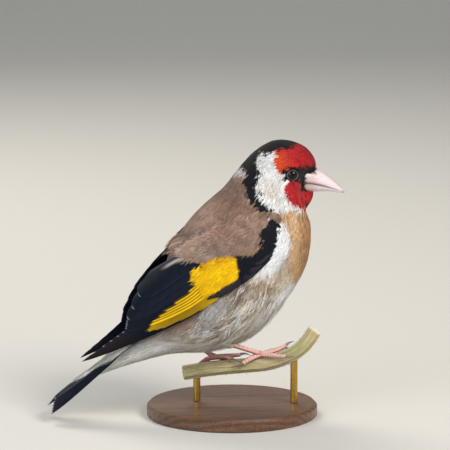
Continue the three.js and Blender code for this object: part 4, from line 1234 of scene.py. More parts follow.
def billHalf(name, ridgeKey, share, rise):
    t = np.linspace(0, 6, bill["rings"] + 1)
    base, ridge, half = catmull(bill["mouth"], t), catmull(bill[ridgeKey], t), catmull(bill["half"],
        t) * share
    angle = np.linspace(0, math.pi, bill["around"] + 1)
    lift = np.sin(angle) ** (0.92 if rise > 0 else 0.8)
    start = base + np.array([0, rise * bill["slit"]])
    x = start[:, None, 0] + (ridge - start)[:, None, 0] * lift
    z = start[:, None, 1] + (ridge - start)[:, None, 1] * lift
    y = half[:, None] * np.cos(angle) * np.ones_like(x)
    keel = 0.16 * np.exp(-((angle - math.pi / 2) / 0.16) ** 2) * np.minimum(1, half / 1.2)[:, None]
    z = z + rise * keel * (1 if rise > 0 else 0.4)
    lip = 0.10 * np.exp(-(np.sin(angle) / 0.16) ** 2) * np.minimum(1, half / 1.5)[:, None]
    y = y + lip * np.sign(np.cos(angle))
    if rise > 0:  # the nostril's hollow, close under the feathers at the base
        for side in (-1, 1):
            pit = nostril(x, z, 0.62, 0.34) * (side * y > 0)
            y = y - side * 0.5 * pit
    rings = np.stack([x, y, z], -1)
    width = rings.shape[1]
    top = rings.reshape(-1, 3)
    floor = np.stack([np.repeat(start[:, 0], 3), (half[:, None] * np.array([0.6, 0.0, -0.6])).ravel(),
        np.repeat(start[:, 1] + rise * 0.15, 3)], -1)
    points = np.vstack([top, floor])
    index = np.arange(len(top)).reshape(-1, width)
    inner = len(top) + np.arange(len(floor)).reshape(-1, 3)
    ring = np.hstack([index, inner[:, ::-1]])
    around = np.roll(ring, -1, 1)
    quads = ring.ravel()[gridFaces(*ring.shape)]
    if rise > 0:
        quads = quads[:, ::-1]
    caps = [np.stack([ring[0], around[0], np.full(ring.shape[1], len(points))], -1),
        np.stack([around[-1], ring[-1], np.full(ring.shape[1], len(points) + 1)], -1)]
    if rise > 0:
        caps = [c[:, ::-1] for c in caps]
    points = np.vstack([points, points[ring[0]].mean(0), points[ring[-1]].mean(0)])
    tt = np.concatenate([np.repeat(t, width), np.repeat(t, 3), [0, 6]])
    high = np.concatenate([np.tile(lift, len(t)), np.zeros(len(floor)), [0, 0]])
    colour = mixed(billTint["horn"], billTint["ridge"], 0.7 * smoothstep(0.75, 1, high) * (rise > 0))
    colour = mixed(colour, billTint["base"], smoothstep(2.4, 1.2, tt))
    colour = mixed(colour, billTint["tip"], 0.7 * smoothstep(5.1, 6.0, tt))
    # painted shade: both halves darken in a band beside the mouth line, most near the gape, for the gap
    # between them
    edge = smoothstep(0.22, 0.02, high) * smoothstep(5.6, 2.5, tt)
    colour = mixed(colour, billTint["edge"], 0.75 * edge)
    if rise > 0:
        # painted shadow: the nostril's slit is darkened
        dark = nostril(points[:, 0], points[:, 2], 0.5, 0.26)
        colour = mixed(colour, billTint["darkBase"], np.clip(1.3 * dark, 0, 1))
        colour = mixed(colour, billTint["darkBase"], 0.8 * smoothstep(1.9, 1.3, tt) * smoothstep(0.75, 0.95,
            high))
    meshPiece("bill" + name, points, [quads, np.concatenate(caps)], billHorn,
        ("bill_" + name.lower(),), colour)


billHalf("Upper", "culmen", 1.0, 1)
billHalf("Lower", "gonys", 0.93, -1)

# Eyes: a dark brown iris round a black pupil under a clear, wet cornea, in a ring of small beaded lids.

eyeShades = {"iris": "#140B08", "pupil": "#020202", "lid": "#6A6765", "lidDark": "#171516"}


def eyeMaterial(side):
    # the cornea's own index, with a wet coat over a dark iris
    material, add, shader = newMaterial("eyeUnderCornea" + ("Left" if side > 0 else "Right"),
        {"Roughness": 0.22, "IOR": 1.376, "Specular IOR Level": 0.25, "Coat Weight": 0.35,
        "Coat Roughness": 0.02, "Coat IOR": 1.376})
    place = add("TexCoord")
    middle = (eye["x"] * mm, 0, eye["z"] * mm)
    offset = add("VectorMath", {0: (place, "Object"), 1: middle}, operation="SUBTRACT")
    flat = add("VectorMath", {0: offset, 1: (1, 0, 1)}, operation="MULTIPLY")
    away = add("VectorMath", {0: flat}, operation="LENGTH")
    rays = add("TexNoise", {"Vector": offset, "Scale": 2400.0, "Detail": 2.0})
    radius = add("Math", {0: (away, "Value"), 1: 1000.0}, operation="MULTIPLY")
    wavy = add("Math", {0: rays, 1: 0.15, 2: radius}, operation="MULTIPLY_ADD")
    ramp = add("ValToRGB", {"Fac": wavy}, stops=[(0.95, eyeShades["pupil"]), (1.0, eyeShades["iris"])])
    feed(ramp, shader.inputs["Base Color"])
    return material


def lidMaterial():
    # bare, finely beaded skin
    material, add, shader = newMaterial("lidSkin", {"Roughness": 0.45})
    shade = add("VertexColor", layer_name="plumage")
    place = add("TexCoord")
    grain = add("TexNoise", {"Vector": (place, "Object"), "Scale": 5000.0})
    dress(add, shader, (shade, "Color"), grain, 0.3, 0.00005)
    return material


lidSkin = lidMaterial()
lids = {"ring": 1.66, "thick": 0.2, "beads": 34, "beadHeight": 0.04, "slant": 0.16}


def makeEye(name, side):
    centre = np.array([eye["x"], side * eye["out"], eye["z"]])
    rows, around = 24, 40
    polar = np.linspace(0, math.pi, rows + 1)[1:-1]
    turn = turns(around)
    ball = np.stack([np.outer(np.sin(polar), np.cos(turn)), side * np.outer(np.cos(polar), np.ones(around)),
        np.outer(np.sin(polar), np.sin(turn))], -1).reshape(-1, 3)
    bulge = 1 + 0.035 * smoothstep(0.72, 0.98, side * ball[:, 1])
    points = np.vstack([ball * bulge[:, None],
        [[0, side * 1.035, 0], [0, -side, 0]]]) * eye["radius"] + centre
    quads, caps = (orientedFaces(points, f, points - centre) for f in tubeFaces(rows - 1, around))
    meshPiece("eyeBall" + name, points, [quads, caps], eyeMaterial(side), ("eye_" + name.lower(),))

    count, tube = 120, 12
    a = turns(count)
    b = turns(tube)
    beads = 1 + lids["beadHeight"] / lids["thick"] * np.abs(np.sin(a * lids["beads"] / 2))
    corner = 0.22 * np.exp(-(np.sin(a) / 0.25) ** 2)  # the lids run out to a point in front and behind
    ring = lids["ring"] * (1 + 0.35 * corner)
    thick = lids["thick"] * beads
    rad = ring[:, None] + thick[:, None] * np.cos(b)
    out = math.sqrt(eye["radius"] ** 2 - lids["ring"] ** 2) + 0.02 + 0.75 * thick[:, None] * np.sin(b)
    x, z = rad * np.cos(a)[:, None], rad * np.sin(a)[:, None] * 0.95
    points = centre + np.stack([x, side * (out - lids["slant"] * x * 0.5), z], -1).reshape(-1, 3)
    quads = gridFaces(count + 1, tube) % (count * tube)  # the last row meets the first
    middle = centre + np.stack([ring * np.cos(a), np.full(count, side * out.mean()), ring * np.sin(a)
        * 0.95], -1)
    quads = orientedFaces(points, quads, points - np.repeat(middle, tube, 0))
    # painted light and shade: lighter on each bead's crown and on the ring's outer face, darker between the
    # beads and where it meets the eye
    light = np.repeat(np.abs(np.sin(a * lids["beads"] / 2)), tube) * np.tile(smoothstep(-0.2, 0.9,
        np.sin(b)), count)
    broken = np.repeat(smoothstep(-0.5, 0.6, np.cos(a * 2 + 0.9) + 0.6 * np.cos(a * 5)), tube)
    colours = mixed(linearOf(eyeShades["lidDark"]), linearOf(eyeShades["lid"]),
        light * (0.35 + 0.65 * broken))
    meshPiece("eyeLids" + name, points, [quads], lidSkin, colours=colours)


for sideName, side in sides.items():
    makeEye(sideName, side)

# Black bristles that lie forward over the bill's base, round the nostrils and gape.

# bare shafts
blackBristle = newMaterial("blackBristle", {"Base Color": colour4("#100E10"), "Roughness": 0.5})[0]


def makeBristles():
    edge = np.array([[26.5, 82.2], [26.0, 81.4], [25.2, 80.6], [24.3, 79.8], [23.2, 78.8], [22.5, 77.4],
        [22.2, 76.2], [22.2, 75.2]])
    bristles = []  # place, forward, up and size of each
    for side in (-1, 1):
        for _ in range(150):
            t = rng.uniform(0, len(edge) - 1)
            x, z = catmull(edge, t)
            x -= rng.uniform(-0.25, 0.9)
            width = max(0.5, float(bodyHalfWidth(x, z))
                * (1 - 0.6 * float(gapeHollow(np.array(x), np.array(z)))) - 0.25)
            y = width * (rng.uniform(-1, 1) if t < 0.8 else 1)
            bristles.append(([x, side * y, z], [1.0, -side * rng.uniform(0.05, 0.3),
                rng.uniform(-0.75, -0.25)], [0.2, side * 0.9, 0.4], [rng.uniform(0.9, 2.0), 0.13, 0.13]))
    rowOf("noseBristles", hairShape("bristleShape", -0.12), *zip(*bristles), blackBristle, "head_plumage",
        0.2, 5)


makeBristles()
print("head made")


# The perch's own path: a smooth curve through the same points as the solid's, measured along its length.

stem = {
    "points": np.array([[-15.5, 4.6, 13.4], [-5.0, 2.2, 15.2], [4.0, 0, 16.2], [11.5, -1.8, 17.2],
        [18.0, -3.4, 19.6], [23.2, -4.6, 23.4], [26.6, -5.4, 28.4]]),
    "radius": 2.3, "rib": 0.18, "ribs": 8,
}


def stemPath():
    # dense points of the centripetal curve, with the distance along it
    p = stem["points"]
    p = np.vstack([2 * p[0] - p[1], p, 2 * p[-1] - p[-2]])
    dense = []
    for k in range(1, len(p) - 2):
        gaps = [max(1e-6, float(np.sum((p[k + j + 1] - p[k + j]) ** 2)) ** 0.25) for j in (-1, 0, 1)]
        a, b, c, d = p[k - 1], p[k], p[k + 1], p[k + 2]
        leave = (b - a) / gaps[0] - (c - a) / (gaps[0] + gaps[1]) + (c - b) / gaps[1]
        arrive = (c - b) / gaps[1] - (d - b) / (gaps[1] + gaps[2]) + (d - c) / gaps[2]
        leave, arrive = leave * gaps[1], arrive * gaps[1]
        for t in np.linspace(0, 1, 60, endpoint=False):
            dense.append(b + leave * t + (3 * (c - b) - 2 * leave - arrive) * t * t
                + (2 * (b - c) + leave + arrive) * t ** 3)
    dense = np.array(dense + [p[-2]])
    distance = np.concatenate([[0], np.cumsum(np.linalg.norm(np.diff(dense, axis=0), axis=1))])
    return dense, distance


stemDense, stemDistance = stemPath()
stemLength = float(stemDistance[-1])


def stemAxes(distance):
    distance = np.clip(np.asarray(distance, float), 0, stemLength)

    def at(value):
        return np.stack([np.interp(value, stemDistance, stemDense[:, k]) for k in range(3)], -1)

    step = 0.4
    forward = unit(at(np.minimum(distance + step, stemLength)) - at(np.maximum(distance - step, 0)))
    right = unit(np.cross(forward, [0, 0, 1]))
    return at(distance), forward, right, np.cross(right, forward)


def roundStem(distance, degrees, radius):
    # 0 degrees is on the bird's right side, 90 on top
    centre, _, right, up = stemAxes(distance)
    angle = np.radians(np.asarray(degrees, float))[..., None]
    return centre + np.asarray(radius, float)[..., None] * (right * np.cos(angle) + up * np.sin(angle))


def tubeMesh(line, up, wide, high, around=16):
    # a closed tube along a line; wide and high give its half sizes at each row, or at each row and angle
    line, up = np.asarray(line, float), np.asarray(up, float)
    forward = unit(np.gradient(line, axis=0))
    right = unit(np.cross(forward, up))
    top = np.cross(right, forward)
    angle = turns(around)
    wide, high = (np.asarray(v, float).reshape(len(line), -1) * np.ones((1, around)) for v in (wide, high))
    rings = (line[:, None] + (wide * np.cos(angle))[..., None] * right[:, None]
        + (high * np.sin(angle))[..., None] * top[:, None])
    quads, caps = tubeFaces(len(line), around)
    points = np.vstack([rings.reshape(-1, 3), rings[0].mean(0), rings[-1].mean(0)])
    middle = np.vstack([np.repeat(line, around, 0), line[0] - forward[0], line[-1] + forward[-1]])
    outside = points - middle
    outside[-2:] = -forward[0], forward[-1]
    quads = orientedFaces(points, quads, outside)
    caps = orientedFaces(points, caps[:, [2, 0, 1]], outside)
    return points, quads, caps, angle


# Legs and feet: soft pads below, a row of horny scutes over each toe and down the front of the shank.

# the shade colour is painted shade, on the toes' and shank's shaded sides
legShades = {
    "skin": "#C98F86", "skinLight": "#E3B9AE", "pad": "#BF8177", "shade": "#9C6058", "claw": "#8C7580",
    "clawTip": "#4E4049", "scute": "#DDAEA4",
}
legTint = tintsOf(legShades)
toes = {
    "inner": {"run": 7.6, "turn": 62, "width": 0.66, "claw": 3.2},
    "middle": {"run": 10.2, "turn": 6, "width": 0.72, "claw": 3.8},
    "outer": {"run": 8.6, "turn": -58, "width": 0.66, "claw": 3.2},
    "hind": {"run": -6.4, "turn": -48, "width": 0.8, "claw": 4.8},
}
feet = {
    "Right": {"at": 26.6, "lean": 70, "reach": 1.0, "heel": [-2.6, -7.6, 25.4]},
    "Left": {"at": 10.6, "lean": 116, "reach": 0.85, "heel": [-14.0, 7.4, 24.6]},
}
footLift = 2.78


def skinMaterial(name, roughness, reliefShare, grain):
    material, add, shader = newMaterial(name, {"Roughness": roughness, "IOR": 1.5,
        "Subsurface Weight": 0.12, "Subsurface Radius": (0.0012, 0.0005, 0.0003)})
    place = add("TexCoord")
    cells = add("TexVoronoi", {"Vector": (place, "Object"), "Scale": 1000 / grain})
    mottle = add("TexNoise", {"Vector": (place, "Object"), "Scale": 900.0, "Detail": 3.0})
    dress(add, shader, variedPlumage(add, mottle, 0.3, 0.7, 0.85, 1.12), (cells, "Distance"),
        0.3 * reliefShare, 0.0001)
    return material


padSkin = skinMaterial("padSkin", 0.55, 1.0, 0.22)  # soft granular skin under the toes
scuteHorn = skinMaterial("scuteHorn", 0.36, 0.3, 0.5)  # thin keratin plates
clawHorn = skinMaterial("clawHorn", 0.3, 0.15, 0.5)  # denser keratin


def scuteShape():
    # a bent plate over the top of a tube: one unit long, its rim at radius one, its rear edge raised
    arc = np.radians(np.linspace(8, 172, 9))
    rows = [(-0.52, 0.93), (-0.30, 1.07), (0.25, 1.13), (0.50, 1.08), (0.56, 0.96)]
    points = [[x, r * math.cos(a), r * math.sin(a) * 1.02] for x, r in rows for a in arc]
    points += [[x, 0.86 * math.cos(a), 0.86 * math.sin(a)] for x in (0.5, -0.5) for a in arc]
    n = len(arc)
    count = len(rows) + 2
    faces = []
    for i in range(count):
        j = (i + 1) % count
        for k in range(n - 1):
            faces.append([i * n + k, i * n + k + 1, j * n + k + 1, j * n + k])
    faces.append([i * n for i in range(count)][::-1])
    faces.append([i * n + n - 1 for i in range(count)])
    return loosePiece("scuteShape", points, faces)


scutePiece = scuteShape()


def makeFoot(name, side):
    foot = feet[name]
    middle = roundStem(foot["at"], foot["lean"], footLift + 1.1)
    heel = np.array(foot["heel"])
    tubes, colours, claws, clawColours = [], [], [], []
    rows = []  # place, forward, up and size of each scute
    for toe in toes.values():
        steps = 40
        t = np.linspace(0, 1, steps + 1)
        reach = toe["run"] * foot["reach"]
        lean = foot["lean"] - side * toe["turn"] * t ** 1.2
        line = roundStem(foot["at"] + reach * t, lean, footLift + toe["width"] * 1.25)
        line[:4] = mixed(middle, line[:4], [0.35, 0.55, 0.8, 0.95])
        up = unit(line - stemAxes(foot["at"] + reach * t)[0])
        thick = toe["width"] * (1.16 - 0.34 * t)
        joints = 3 if toe["run"] > 7 else 2
        pads = 0.5 + 0.5 * np.cos(t * joints * math.tau)
        angle = turns(16)
        below = np.maximum(0, -np.sin(angle))[None, :]
        swell = 1 + below * (0.20 * pads[:, None] - 0.04) + 0.05 * below * np.sin(angle * 9 + 1)[None, :]
        end = np.sqrt(np.clip(1 - ((t - 0.94) / 0.06) ** 2, 0.12, 1)) * (t > 0.94) + (t <= 0.94)
        part = tubeMesh(line, up, (thick * end)[:, None] * (1 + 0.1 * below * pads[:, None]),
            (thick * end)[:, None] * swell)
        tubes.append(part)
        # painted shade: each toe is darker on the side against the stem and lighter on its outer side
        light = np.tile(np.clip(0.5 + 0.5 * np.sin(angle), 0, 1), len(line))
        shade = mixed(legTint["shade"], legTint["pad"], smoothstep(0, 0.5, light))
        shade = mixed(shade, legTint["skin"], smoothstep(0.5, 0.9, light))
        colours.append(np.vstack([shade, legTint["skin"], legTint["shade"]]))
        count = int(abs(reach) / 0.82)
        for k in range(count):
            tk = (k + 0.7) / (count + 0.4)
            index = tk * steps
            forward = catmull(line, min(steps, index + 1)) - catmull(line, max(0, index - 1))
            radius = float(np.interp(tk, t, thick))
            rows.append((catmull(line, index), forward, catmull(up, index), (abs(reach) / count * 1.02,
                radius, radius)))
        tc = np.linspace(0, 1, 15)
        way = math.copysign(1, toe["run"])
        arch = np.sin(math.pi * np.minimum(1, tc * 0.9)) * 0.62
        clawLine = roundStem(foot["at"] + reach - way * 0.5 + way * toe["claw"] * tc, foot["lean"]
            - side * toe["turn"] * (1 + 0.35 * tc), footLift + toe["width"] * 1.25 * (1 - tc) + 0.2 * tc
            + arch)
        clawUp = unit(clawLine - stemAxes(foot["at"] + reach)[0])
        taper = 0.46 * (1 - tc ** 1.4) + 0.03
        claws.append(tubeMesh(clawLine, clawUp, taper * 0.8, taper * 1.1, 12))
        shade = mixed(legTint["claw"], legTint["clawTip"], smoothstep(0.4, 1, tc))
        clawColours.append(np.vstack([np.repeat(shade, 12, 0), legTint["claw"], legTint["clawTip"]]))

    shank = heel - middle
    length = float(np.linalg.norm(shank))
    shank = shank / length
    t = np.linspace(-0.03, 1.12, 40)
    line = middle + np.outer(t * length, shank)
    front = unit(np.cross(np.cross(shank, [1, 0, 0.6]), shank))
    thick = 0.74 + 0.35 * np.exp(-(t / 0.09) ** 2) + 0.3 * smoothstep(0.8, 1.05, t)
    angle = turns(16)
    ridge = 1 + 0.10 * np.maximum(0, -np.sin(angle))[None, :] * np.ones((len(t), 1))
    tubes.append(tubeMesh(line, np.tile(front, (len(t), 1)), thick * 0.86, thick[:, None] * ridge))
    # painted shade: the shank is lighter in front and darker behind
    light = np.tile(0.5 + 0.5 * np.sin(angle), len(t))
    shade = mixed(legTint["shade"], legTint["skin"], smoothstep(0.0, 0.6, light))
    colours.append(np.vstack([shade, legTint["skin"], legTint["skin"]]))
    count = int(length / 1.9)
    for k in range(count):
        tk = 0.12 + 0.86 * (k + 0.5) / count
        radius = float(np.interp(tk, t, thick))
        rows.append((middle + shank * length * tk, -shank, front, (0.86 * length / count * 1.04,
            radius * 0.88, radius)))

    points, quads, caps = joined(tubes, (1, 2), ())
    meshPiece("legSkin" + name, points, [quads, caps], padSkin, ("leg_" + name.lower(), "foot_"
        + name.lower()), colours=np.concatenate(colours))
    points, quads, caps = joined(claws, (1, 2), ())
    meshPiece("claws" + name, points, [quads, caps], clawHorn, colours=np.concatenate(clawColours))
    plates = rowOf("legScutes" + name, scutePiece, *zip(*rows), scuteHorn, "legs", 0.03, 4)
    one = np.array([v.co.x for v in scutePiece.data.vertices])
    count = len(plates.data.vertices) // len(one)
    shade = mixed(legTint["skin"], legTint["skinLight"], 0.2 + 0.7 * np.tile(smoothstep(-0.52, 0.3, one),
        count))
    setColours(plates.data, mixed(shade, legTint["scute"], 0.6 * np.repeat(rng.uniform(0, 1, count),
        len(one))))


thighDown = {"length": 4.2, "width": 1.6, "rows": 16}


def makeThigh(name, side):
    # loose feathers round the heel, over a soft cone
    heel = np.array(feet[name]["heel"])
    top = heel + np.array([-3.4, 1.2 * side, 6.4])
    middle = roundStem(feet[name]["at"], feet[name]["lean"], footLift + 1.1)
    shank = unit(middle - heel)
    line = np.array([top, top * 0.55 + heel * 0.45, heel + shank * -0.2, heel + shank * 2.2])
    radii = np.array([4.3, 3.2, 1.5, 0.7])

    def surface(p, q, h):
        centre = catmull(line, np.clip(p, 0, 3))
        forward = unit(catmull(line, np.clip(p + 0.1, 0, 3)) - catmull(line, np.clip(p - 0.1, 0, 3)))
        centre = centre + forward * np.maximum(0, p - 3)[:, None] * 2.2
        right = unit(np.cross(forward, [0, 1, 0.2]))
        up = np.cross(right, forward)
        radius = catmull(radii, np.clip(p, 0, 3)) + h - 0.4
        return centre + radius[:, None] * (np.cos(q)[:, None] * right + np.sin(q)[:, None] * up)

    p, q = scattered(np.linspace(0, 2.4, thighDown["rows"]), np.arange(0, math.tau, 0.3), 0.1, 0.15)
    radius = np.maximum(0.8, catmull(radii, p))
    turn = rng.normal(0, 0.15, len(p))
    tipColour = mixed(tint["belly"], tint["flank"], np.clip(rng.normal(0.4, 0.25, len(p)), 0, 1))
    # painted shade: the roots darker than the tips
    part = tuftBlades(surface, p, q, *directions(turn, 3.2, radius), thighDown["length"] * rng.uniform(0.7,
        1.1, len(p)), thighDown["width"], 0.1, rng.uniform(0.3, 0.7, len(p)), tipColour * 0.6, tipColour,
        blades=10, fray=0.2, patchOf=lambda a, b: np.stack([0.1 + 0.8 * (b / 7), 0.05 + 0.85 * a / 3], -1))
    coatPieces("thighDown" + name, [part], lambda points: points - line[1], downyPlumage)
    t = np.linspace(0, 3, 24)
    middleLine = catmull(line, t)
    points, quads, caps, _ = tubeMesh(middleLine, np.tile([0, 1.0, 0.2], (24, 1)), catmull(radii, t) - 0.5,
        catmull(radii, t) - 0.5, 20)
    # painted shade: the cone under the thigh feathers is the flank colour darkened to 0.6
    meshPiece("thighSkin" + name, points, [quads, caps], skinUnderDown,
        colours=tint["flank"] * 0.6, uv={"OFBake": np.stack([0.1 + 0.8 * (np.arange(len(points)) % 20) / 20,
        0.05 + 0.9 * (np.arange(len(points)) // 20) / 26], -1)})


for sideName, side in sides.items():
    makeFoot(sideName, side)
    makeThigh(sideName, side)
print("legs made")


# Geometry Nodes: a thin round cord along each path of a mesh, for the stem's fibre ridges.

def cordTree():
    tree, add, source = newTree("cordAlongPaths", {"Paths": "Geometry", "Radius": "Float",
        "Spacing": "Float", "Surface": "Material"}, "Cords")
    curve = add("GeometryNodeMeshToCurve", {"Mesh": (source, "Paths")})
    spaced = add("GeometryNodeResampleCurve", {"Curve": (curve, "Curve"), "Length": (source, "Spacing")},
        mode="LENGTH")
    profile = add("GeometryNodeCurvePrimitiveCircle", {"Radius": (source, "Radius"), "Resolution": 6})
    swept = add("GeometryNodeCurveToMesh", {"Curve": (spaced, "Curve"), "Profile Curve": (profile, "Curve"),
        "Fill Caps": True})
    return endTree(tree, add, source, (swept, "Mesh"), "Cords")


cordAlongPaths = cordTree()

# the hollow colour is painted shadow, inside the cut ends
stemShades = {
    "straw": "#B9A878", "strawPale": "#D3C79E", "green": "#8E9459", "brown": "#7D6543", "pith": "#E6DEC6",
    "hollow": "#4A3C28",
}


def strawMaterial():
    material, add, shader = newMaterial("dryStem", {"Roughness": 0.68, "Sheen Weight": 0.1})
    place = add("UVMap", uv_map="stem")
    stretched = add("Mapping", {"Vector": (place, "UV"), "Scale": (3.2, 0.10, 1.0)})
    fibre = add("TexNoise", {"Vector": stretched, "Scale": 1.0, "Detail": 6.0})
    wide = add("TexCoord")
    patches = add("TexNoise", {"Vector": (wide, "Object"), "Scale": 160.0, "Detail": 3.0})
    ramp = add("ValToRGB", {"Fac": fibre}, stops=[(0.32, stemShades["brown"]),
        (0.68, stemShades["strawPale"]), (0.48, stemShades["straw"])])
    share = add("MapRange", {"Value": patches, "From Min": 0.42, "From Max": 0.62, "To Min": 0.0,
        "To Max": 0.55})
    blend = add("Mix", {0: (share, "Result"), 6: ramp, 7: colour4(stemShades["green"])}, data_type="RGBA")
    shade = add("VertexColor", layer_name="plumage")
    cut = add("Mix", {0: (shade, "Alpha"), 6: (blend, 2), 7: (shade, "Color")}, data_type="RGBA")
    dress(add, shader, (cut, 2), fibre, 0.5, 0.0002)
    return material


dryStem = strawMaterial()  # weathered thistle rind, fibres along it


def plainMaterial(name, shade, roughness):
    material, add, shader = newMaterial(name, {"Roughness": roughness})
    place = add("TexCoord")
    grain = add("TexNoise", {"Vector": (place, "Object"), "Scale": 1500.0, "Detail": 3.0})
    stops = [(at, (*np.minimum(1, linearOf(shade) * light), 1)) for at, light in ((0.3, 0.72), (0.7, 1.2))]
    ramp = add("ValToRGB", {"Fac": grain}, stops=stops)
    feed(ramp, shader.inputs["Base Color"])
    return material


stemFibre = plainMaterial("stemFibre", "#C4B78A", 0.6)  # the rind's pale strengthening ribs
stemHair = plainMaterial("stemHair", "#DAD5C6", 0.7)  # cobwebby dead hairs
stemSpine = plainMaterial("stemSpine", "#C9B27E", 0.4)  # hard dry prickles


def clearOfFeet(at, turn, reach, arc):
    clear = np.ones(len(at), bool)
    for foot in feet.values():
        clear &= ~((np.abs(at - foot["at"]) < reach) & (np.abs(turn - foot["lean"]) < arc))
    return at[clear], turn[clear]


def onStem(at, turn, height):
    # places at a height over the stem's face, with the ways outwards and along it
    centre, along = stemAxes(at)[:2]
    places = roundStem(at, turn, stem["radius"] + height)
    return places, unit(places - centre), along


def slenderSizes(low, high, thick, count):
    return np.stack([rng.uniform(low, high, count), *np.full((2, count), thick)], -1)


def makeStem():
    rows, around = 120, 128
    s = np.linspace(0, stemLength, rows)
    degrees = np.arange(around) * 360 / around
    ridge = (0.5 + 0.5 * np.cos(np.radians(8 * (degrees - 22.5)))) ** 1.6
    wear = 0.03 * np.sin(np.outer(s, np.ones(around)) * 0.9 + degrees * 0.11)
    radius = stem["radius"] - 0.06 + stem["rib"] * 0.9 * ridge[None, :] + wear
    # painted shadow: the two deepest rings of each cut end, sunk into the hollow, take the dark hollow
    # colour
    levels = [("hollow", 1.6), ("hollow", 1.2), ("pith", 0.02), ("pith", 0.0), ("straw", 0.0)]
    shares = [0.02, 0.36, 0.40, 0.84, 0.97]

    def endRings(distance, way, outer):
        made = []
        for (shade, depth), share in zip(levels, shares):
            ring = roundStem(distance, degrees, outer * share)
            made.append((ring + way * depth * stemAxes(distance)[1], stemShades[shade]))
        return made

    start = endRings(0.0, 1, radius[0])
    finish = endRings(stemLength, -1, radius[-1])[::-1]
    body = [roundStem(d, degrees, r) for d, r in zip(s, radius)]
    rings = [r for r, _ in start] + body + [r for r, _ in finish]
    points = np.concatenate(rings)
    quads, caps = tubeFaces(len(rings), around)
    points = np.vstack([points, rings[0].mean(0), rings[-1].mean(0)])
    colours = np.zeros((len(points), 4))
    edges = list(range(5)) + list(range(len(rings) - 5, len(rings)))
    shades = [c for _, c in start] + [c for _, c in finish]
    for ring, shade in zip(edges, shades):
        colours[ring * around:(ring + 1) * around] = (*linearOf(shade), 1.0)
    # painted shadow: the middle points of the two cut ends
    colours[-2:] = (*linearOf(stemShades["hollow"]), 1.0)
    along = np.concatenate([[0] * 5, s, [stemLength] * 5])
    uv = np.stack([np.tile(np.arange(around) * math.tau * 2.3 / around, len(rings)),
        np.repeat(along, around)], -1)
    uv = np.vstack([uv, [[0, 0], [0, stemLength]]])
    outside = np.zeros_like(points)
    outside[5 * around:(5 + rows) * around] = points[5 * around:(5 + rows) * around] - np.repeat(
        stemAxes(s)[0], around, 0)
    check = orientedFaces(points, quads[5 * around:6 * around], outside)
    if not np.array_equal(check, quads[5 * around:6 * around]):
        quads, caps = quads[:, ::-1], caps[:, ::-1]
    meshPiece("thistleStem", points, [quads, caps], dryStem, ("perch_stem",), colours,
        {"stem": uv})

    paths, edges = [], []
    for k in range(stem["ribs"]):
        line = np.linspace(0.3, stemLength - 0.3, 60)
        spot = roundStem(line, 22.5 + 45 * k + 1.5 * np.sin(line * 0.35 + k), stem["radius"] + 0.06)
        first = len(paths)
        paths.extend(spot)
        edges.extend((first + i, first + i + 1) for i in range(59))
    cords = nodesToMesh("stemRibs", paths, edges, cordAlongPaths, {"Radius": 0.13 * mm, "Spacing": 0.8 * mm,
        "Surface": stemFibre})
    keptMesh("stemRibs", cords)

    at, turn = clearOfFeet(rng.uniform(0.4, stemLength - 0.4, 900), rng.uniform(0, 360, 900), 12, 75)
    places, outwards, along = onStem(at, turn, -0.05)
    lean = outwards * rng.uniform(0.15, 0.6, (len(at), 1)) + along * rng.choice([-1, 1],
        (len(at), 1)) + rng.normal(0, 0.25, (len(at), 3))
    sizes = slenderSizes(0.6, 1.7, 0.045, len(at))
    rowOf("stemHairs", hairShape("stemHairShape", 3.0), places, lean, outwards, sizes, stemHair,
        "thistle_stem", 0.2, 8)

    at, turn = clearOfFeet(rng.uniform(1.5, stemLength - 1.5, 46), 22.5 + 45 * rng.integers(0, 8, 46), 13,
        80)
    places, outwards, along = onStem(at, turn, 0.1)
    lean = outwards + along * rng.uniform(-0.5, 0.6, (len(at), 1))
    sizes = slenderSizes(0.5, 1.15, 0.28, len(at))
    rowOf("stemSpines", hairShape("spineShape", 0.0, 6, 3), places, lean, along, sizes, stemSpine,
        "thistle_stem", 0.2, 9)


makeStem()
for shape in loosePieces:
    bpy.data.objects.remove(shape)
print("perch made")

# Display stand: an oiled walnut disc and brushed brass rods, kept as the solids with their own surfaces.

standShades = {
    "walnut": "#5B3B26", "walnutDark": "#2F1D13", "walnutLight": "#8A5F3D", "brass": "#C8A04A",
    "brassDull": "#8C6E33",
}


def walnutMaterial():
    material, add, shader = newMaterial("oiledWalnut", {"Roughness": 0.42, "Coat Weight": 0.25,
        "Coat Roughness": 0.25})
    place = add("TexCoord")
    shifted = add("Mapping", {"Vector": (place, "Object"), "Location": (0.0, 0.045, 0.06),
        "Rotation": (0.06, 0.02, 0.35), "Scale": (0.12, 1.0, 1.0)})
    bend = add("TexNoise", {"Vector": shifted, "Scale": 45.0, "Detail": 3.0})
    warped = add("VectorMath", {0: (bend, "Color"), 1: (0.012, 0.012, 0.012), 2: shifted},
        operation="MULTIPLY_ADD")
    away = add("VectorMath", {0: warped, 1: (0, 1, 1)}, operation="MULTIPLY")
    radius = add("VectorMath", {0: away}, operation="LENGTH")
    growth = add("Math", {0: (radius, "Value"), 1: math.tau / 0.0019}, operation="MULTIPLY")  # 1.9 mm a year
    rings = add("Math", {0: growth}, operation="SINE")
    pores = add("Mapping", {"Vector": (place, "Object"), "Rotation": (0, 0, 0.35),
        "Scale": (260, 5200, 5200)})
    fleck = add("TexNoise", {"Vector": pores, "Scale": 1.0, "Detail": 4.0})
    total = add("Math", {0: rings, 1: 0.08, 2: fleck}, operation="MULTIPLY_ADD")
    stops = [(0.22, standShades["walnutDark"]), (0.8, standShades["walnutLight"]),
        (0.5, standShades["walnut"])]
    ramp = add("ValToRGB", {"Fac": total}, stops=stops)
    dress(add, shader, ramp, fleck, 0.15, 0.0001)
    return material


